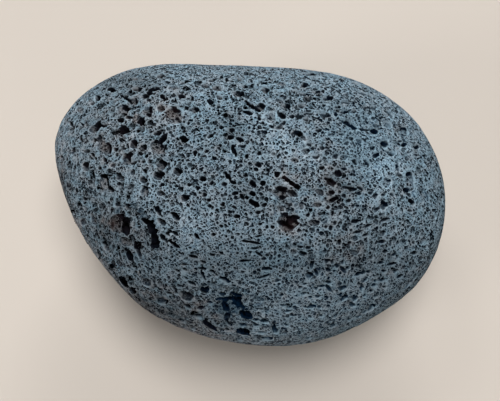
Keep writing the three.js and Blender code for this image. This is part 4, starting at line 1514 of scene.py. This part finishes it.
# where the painted light is low, the hollows' painted shade shows instead of the wall
colour = mix_colours(tree, light, hollow_shade_colour, wall)
tint = mix_colours(tree, carried(tree, "warmth"), COOL_TINT, WARM_TINT)
colour = mix_colours(tree, 1.0, colour, tint, "MULTIPLY")
feed(tree, shader.inputs["Base Color"], colour)
shader.inputs["Roughness"].default_value = ROUGHNESS
shader.inputs["Specular IOR Level"].default_value = 0.0
print(f"{len(tree.nodes)} nodes in all")

# %% [markdown]
# Relief. A Bump node gives the painted pores and the grain their light and shade. The mesh has the real
# form of the cut ones, but shaded from its own normals each small dent would be drawn twice. So the Bump
# node starts from the way that the carved skin faced before any pore was cut.

# %% Fine relief
GRAIN_RELIEF = 0.10  # millimetres

relief = maths(tree, "MULTIPLY_ADD", grain, GRAIN_RELIEF, maths(tree, "MULTIPLY", dent, -1.0))
bump = tree.nodes.new("ShaderNodeBump")
bump.inputs["Strength"].default_value = 1.0
bump.inputs["Distance"].default_value = MM
feed(tree, bump.inputs["Height"], relief)
to_world = tree.nodes.new("ShaderNodeVectorTransform")
to_world.vector_type = "NORMAL"
to_world.convert_from = "OBJECT"
to_world.convert_to = "WORLD"
feed(tree, to_world.inputs["Vector"], facing_out)
feed(tree, bump.inputs["Normal"], to_world.outputs["Vector"])
feed(tree, shader.inputs["Normal"], bump.outputs["Normal"])

mesh.materials.clear()
mesh.materials.append(basalt)
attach(stone, "root")
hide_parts("lava_rock")
print(f"{stone.name}: {len(mesh.polygons)} triangles of {basalt.name}")

# %% [markdown]
# The stage: a plain pale floor, and a plain pale ball round it all as a backdrop, so that a low view
# doesn't end in the dark. The backdrop glows, and only the camera sees it, so that it changes neither the
# light on the stone nor its shadow.


# %% Floor and backdrop
def plain_material(thing, name, colour):
    """A dull material in one colour, for a thing that has none yet. Gives back its shader."""
    made = bpy.data.materials.new(name)
    made.use_nodes = True
    dull = made.node_tree.nodes["Principled BSDF"]
    dull.inputs["Base Color"].default_value = colour
    dull.inputs["Roughness"].default_value = 0.9
    dull.inputs["Specular IOR Level"].default_value = 0.0
    thing.data.materials.append(made)
    return dull


FLOOR_SIZE = 40  # metres
FLOOR_COLOUR = (0.50, 0.45, 0.40, 1)
BACKDROP_RADIUS = 1.5  # metres; the camera doesn't see what lies many metres away
BACKDROP_COLOUR = (0.68, 0.63, 0.57, 1)

bpy.ops.object.select_all(action="DESELECT")
bpy.ops.mesh.primitive_plane_add(size=FLOOR_SIZE, location=(0, 0, 0))
floor = bpy.context.object
floor.name = "floor"
plain_material(floor, "pale_floor", FLOOR_COLOUR)

bpy.ops.mesh.primitive_uv_sphere_add(segments=48, ring_count=24, radius=BACKDROP_RADIUS)
backdrop = bpy.context.object
backdrop.name = "backdrop"
glow = plain_material(backdrop, "pale_backdrop", (0, 0, 0, 1))
glow.inputs["Emission Color"].default_value = BACKDROP_COLOUR
glow.inputs["Emission Strength"].default_value = 1.0
backdrop.visible_diffuse = False
backdrop.visible_glossy = False
backdrop.visible_shadow = False
print(f"floor {FLOOR_SIZE} m wide, backdrop {2 * BACKDROP_RADIUS} m across")

# %% [markdown]
# The light is soft and comes from above and behind, so that the walls between the bubbles are lit and the
# shadow falls to the front. Low lamps reach under the stone's edge, and a dim, pale sky fills in the rest.

# %% Lamps
LAMP_DISTANCE = 6  # metres
SKY_COLOUR = (0.90, 0.95, 1.0, 1)
SKY_STRENGTH = 0.06


def lamp(name, bearing, height, size, power):
    """A round lamp that shines on the stone, from its bearing: 0 is behind the stone and 90 at its right."""
    data = bpy.data.lights.new(name, "AREA")
    data.shape = "DISK"
    data.size = size
    data.energy = power
    made = bpy.data.objects.new(name, data)
    level = math.cos(math.radians(height))
    towards = Vector((math.sin(math.radians(bearing)) * level, math.cos(math.radians(bearing)) * level, 0))
    towards.z = math.sin(math.radians(height))
    made.location = VIEW_TARGET + towards * LAMP_DISTANCE
    made.rotation_euler = towards.to_track_quat("Z", "Y").to_euler()
    made.visible_camera = False
    bpy.context.collection.objects.link(made)


lamp("softbox_overhead", 45, 82, 4.0, 300)
lamp("softbox_low_behind", 8, 11, 2.8, 420)
lamp("softbox_low_front_left", 244, 17, 2.4, 150)
lamp("softbox_front", 180, 66, 4.0, 70)
lamp("lamp_behind_left", 330, 40, 2.4, 72)
lamp("lamp_low_front_right", 150, 15, 2.4, 45)

world = bpy.data.worlds.new("sky")
world.use_nodes = True
sky = world.node_tree.nodes["Background"]
sky.inputs["Color"].default_value = SKY_COLOUR
sky.inputs["Strength"].default_value = SKY_STRENGTH
bpy.context.scene.world = world
bpy.context.scene.view_settings.view_transform = "Standard"
print(f"{len(bpy.data.lights)} lamps")
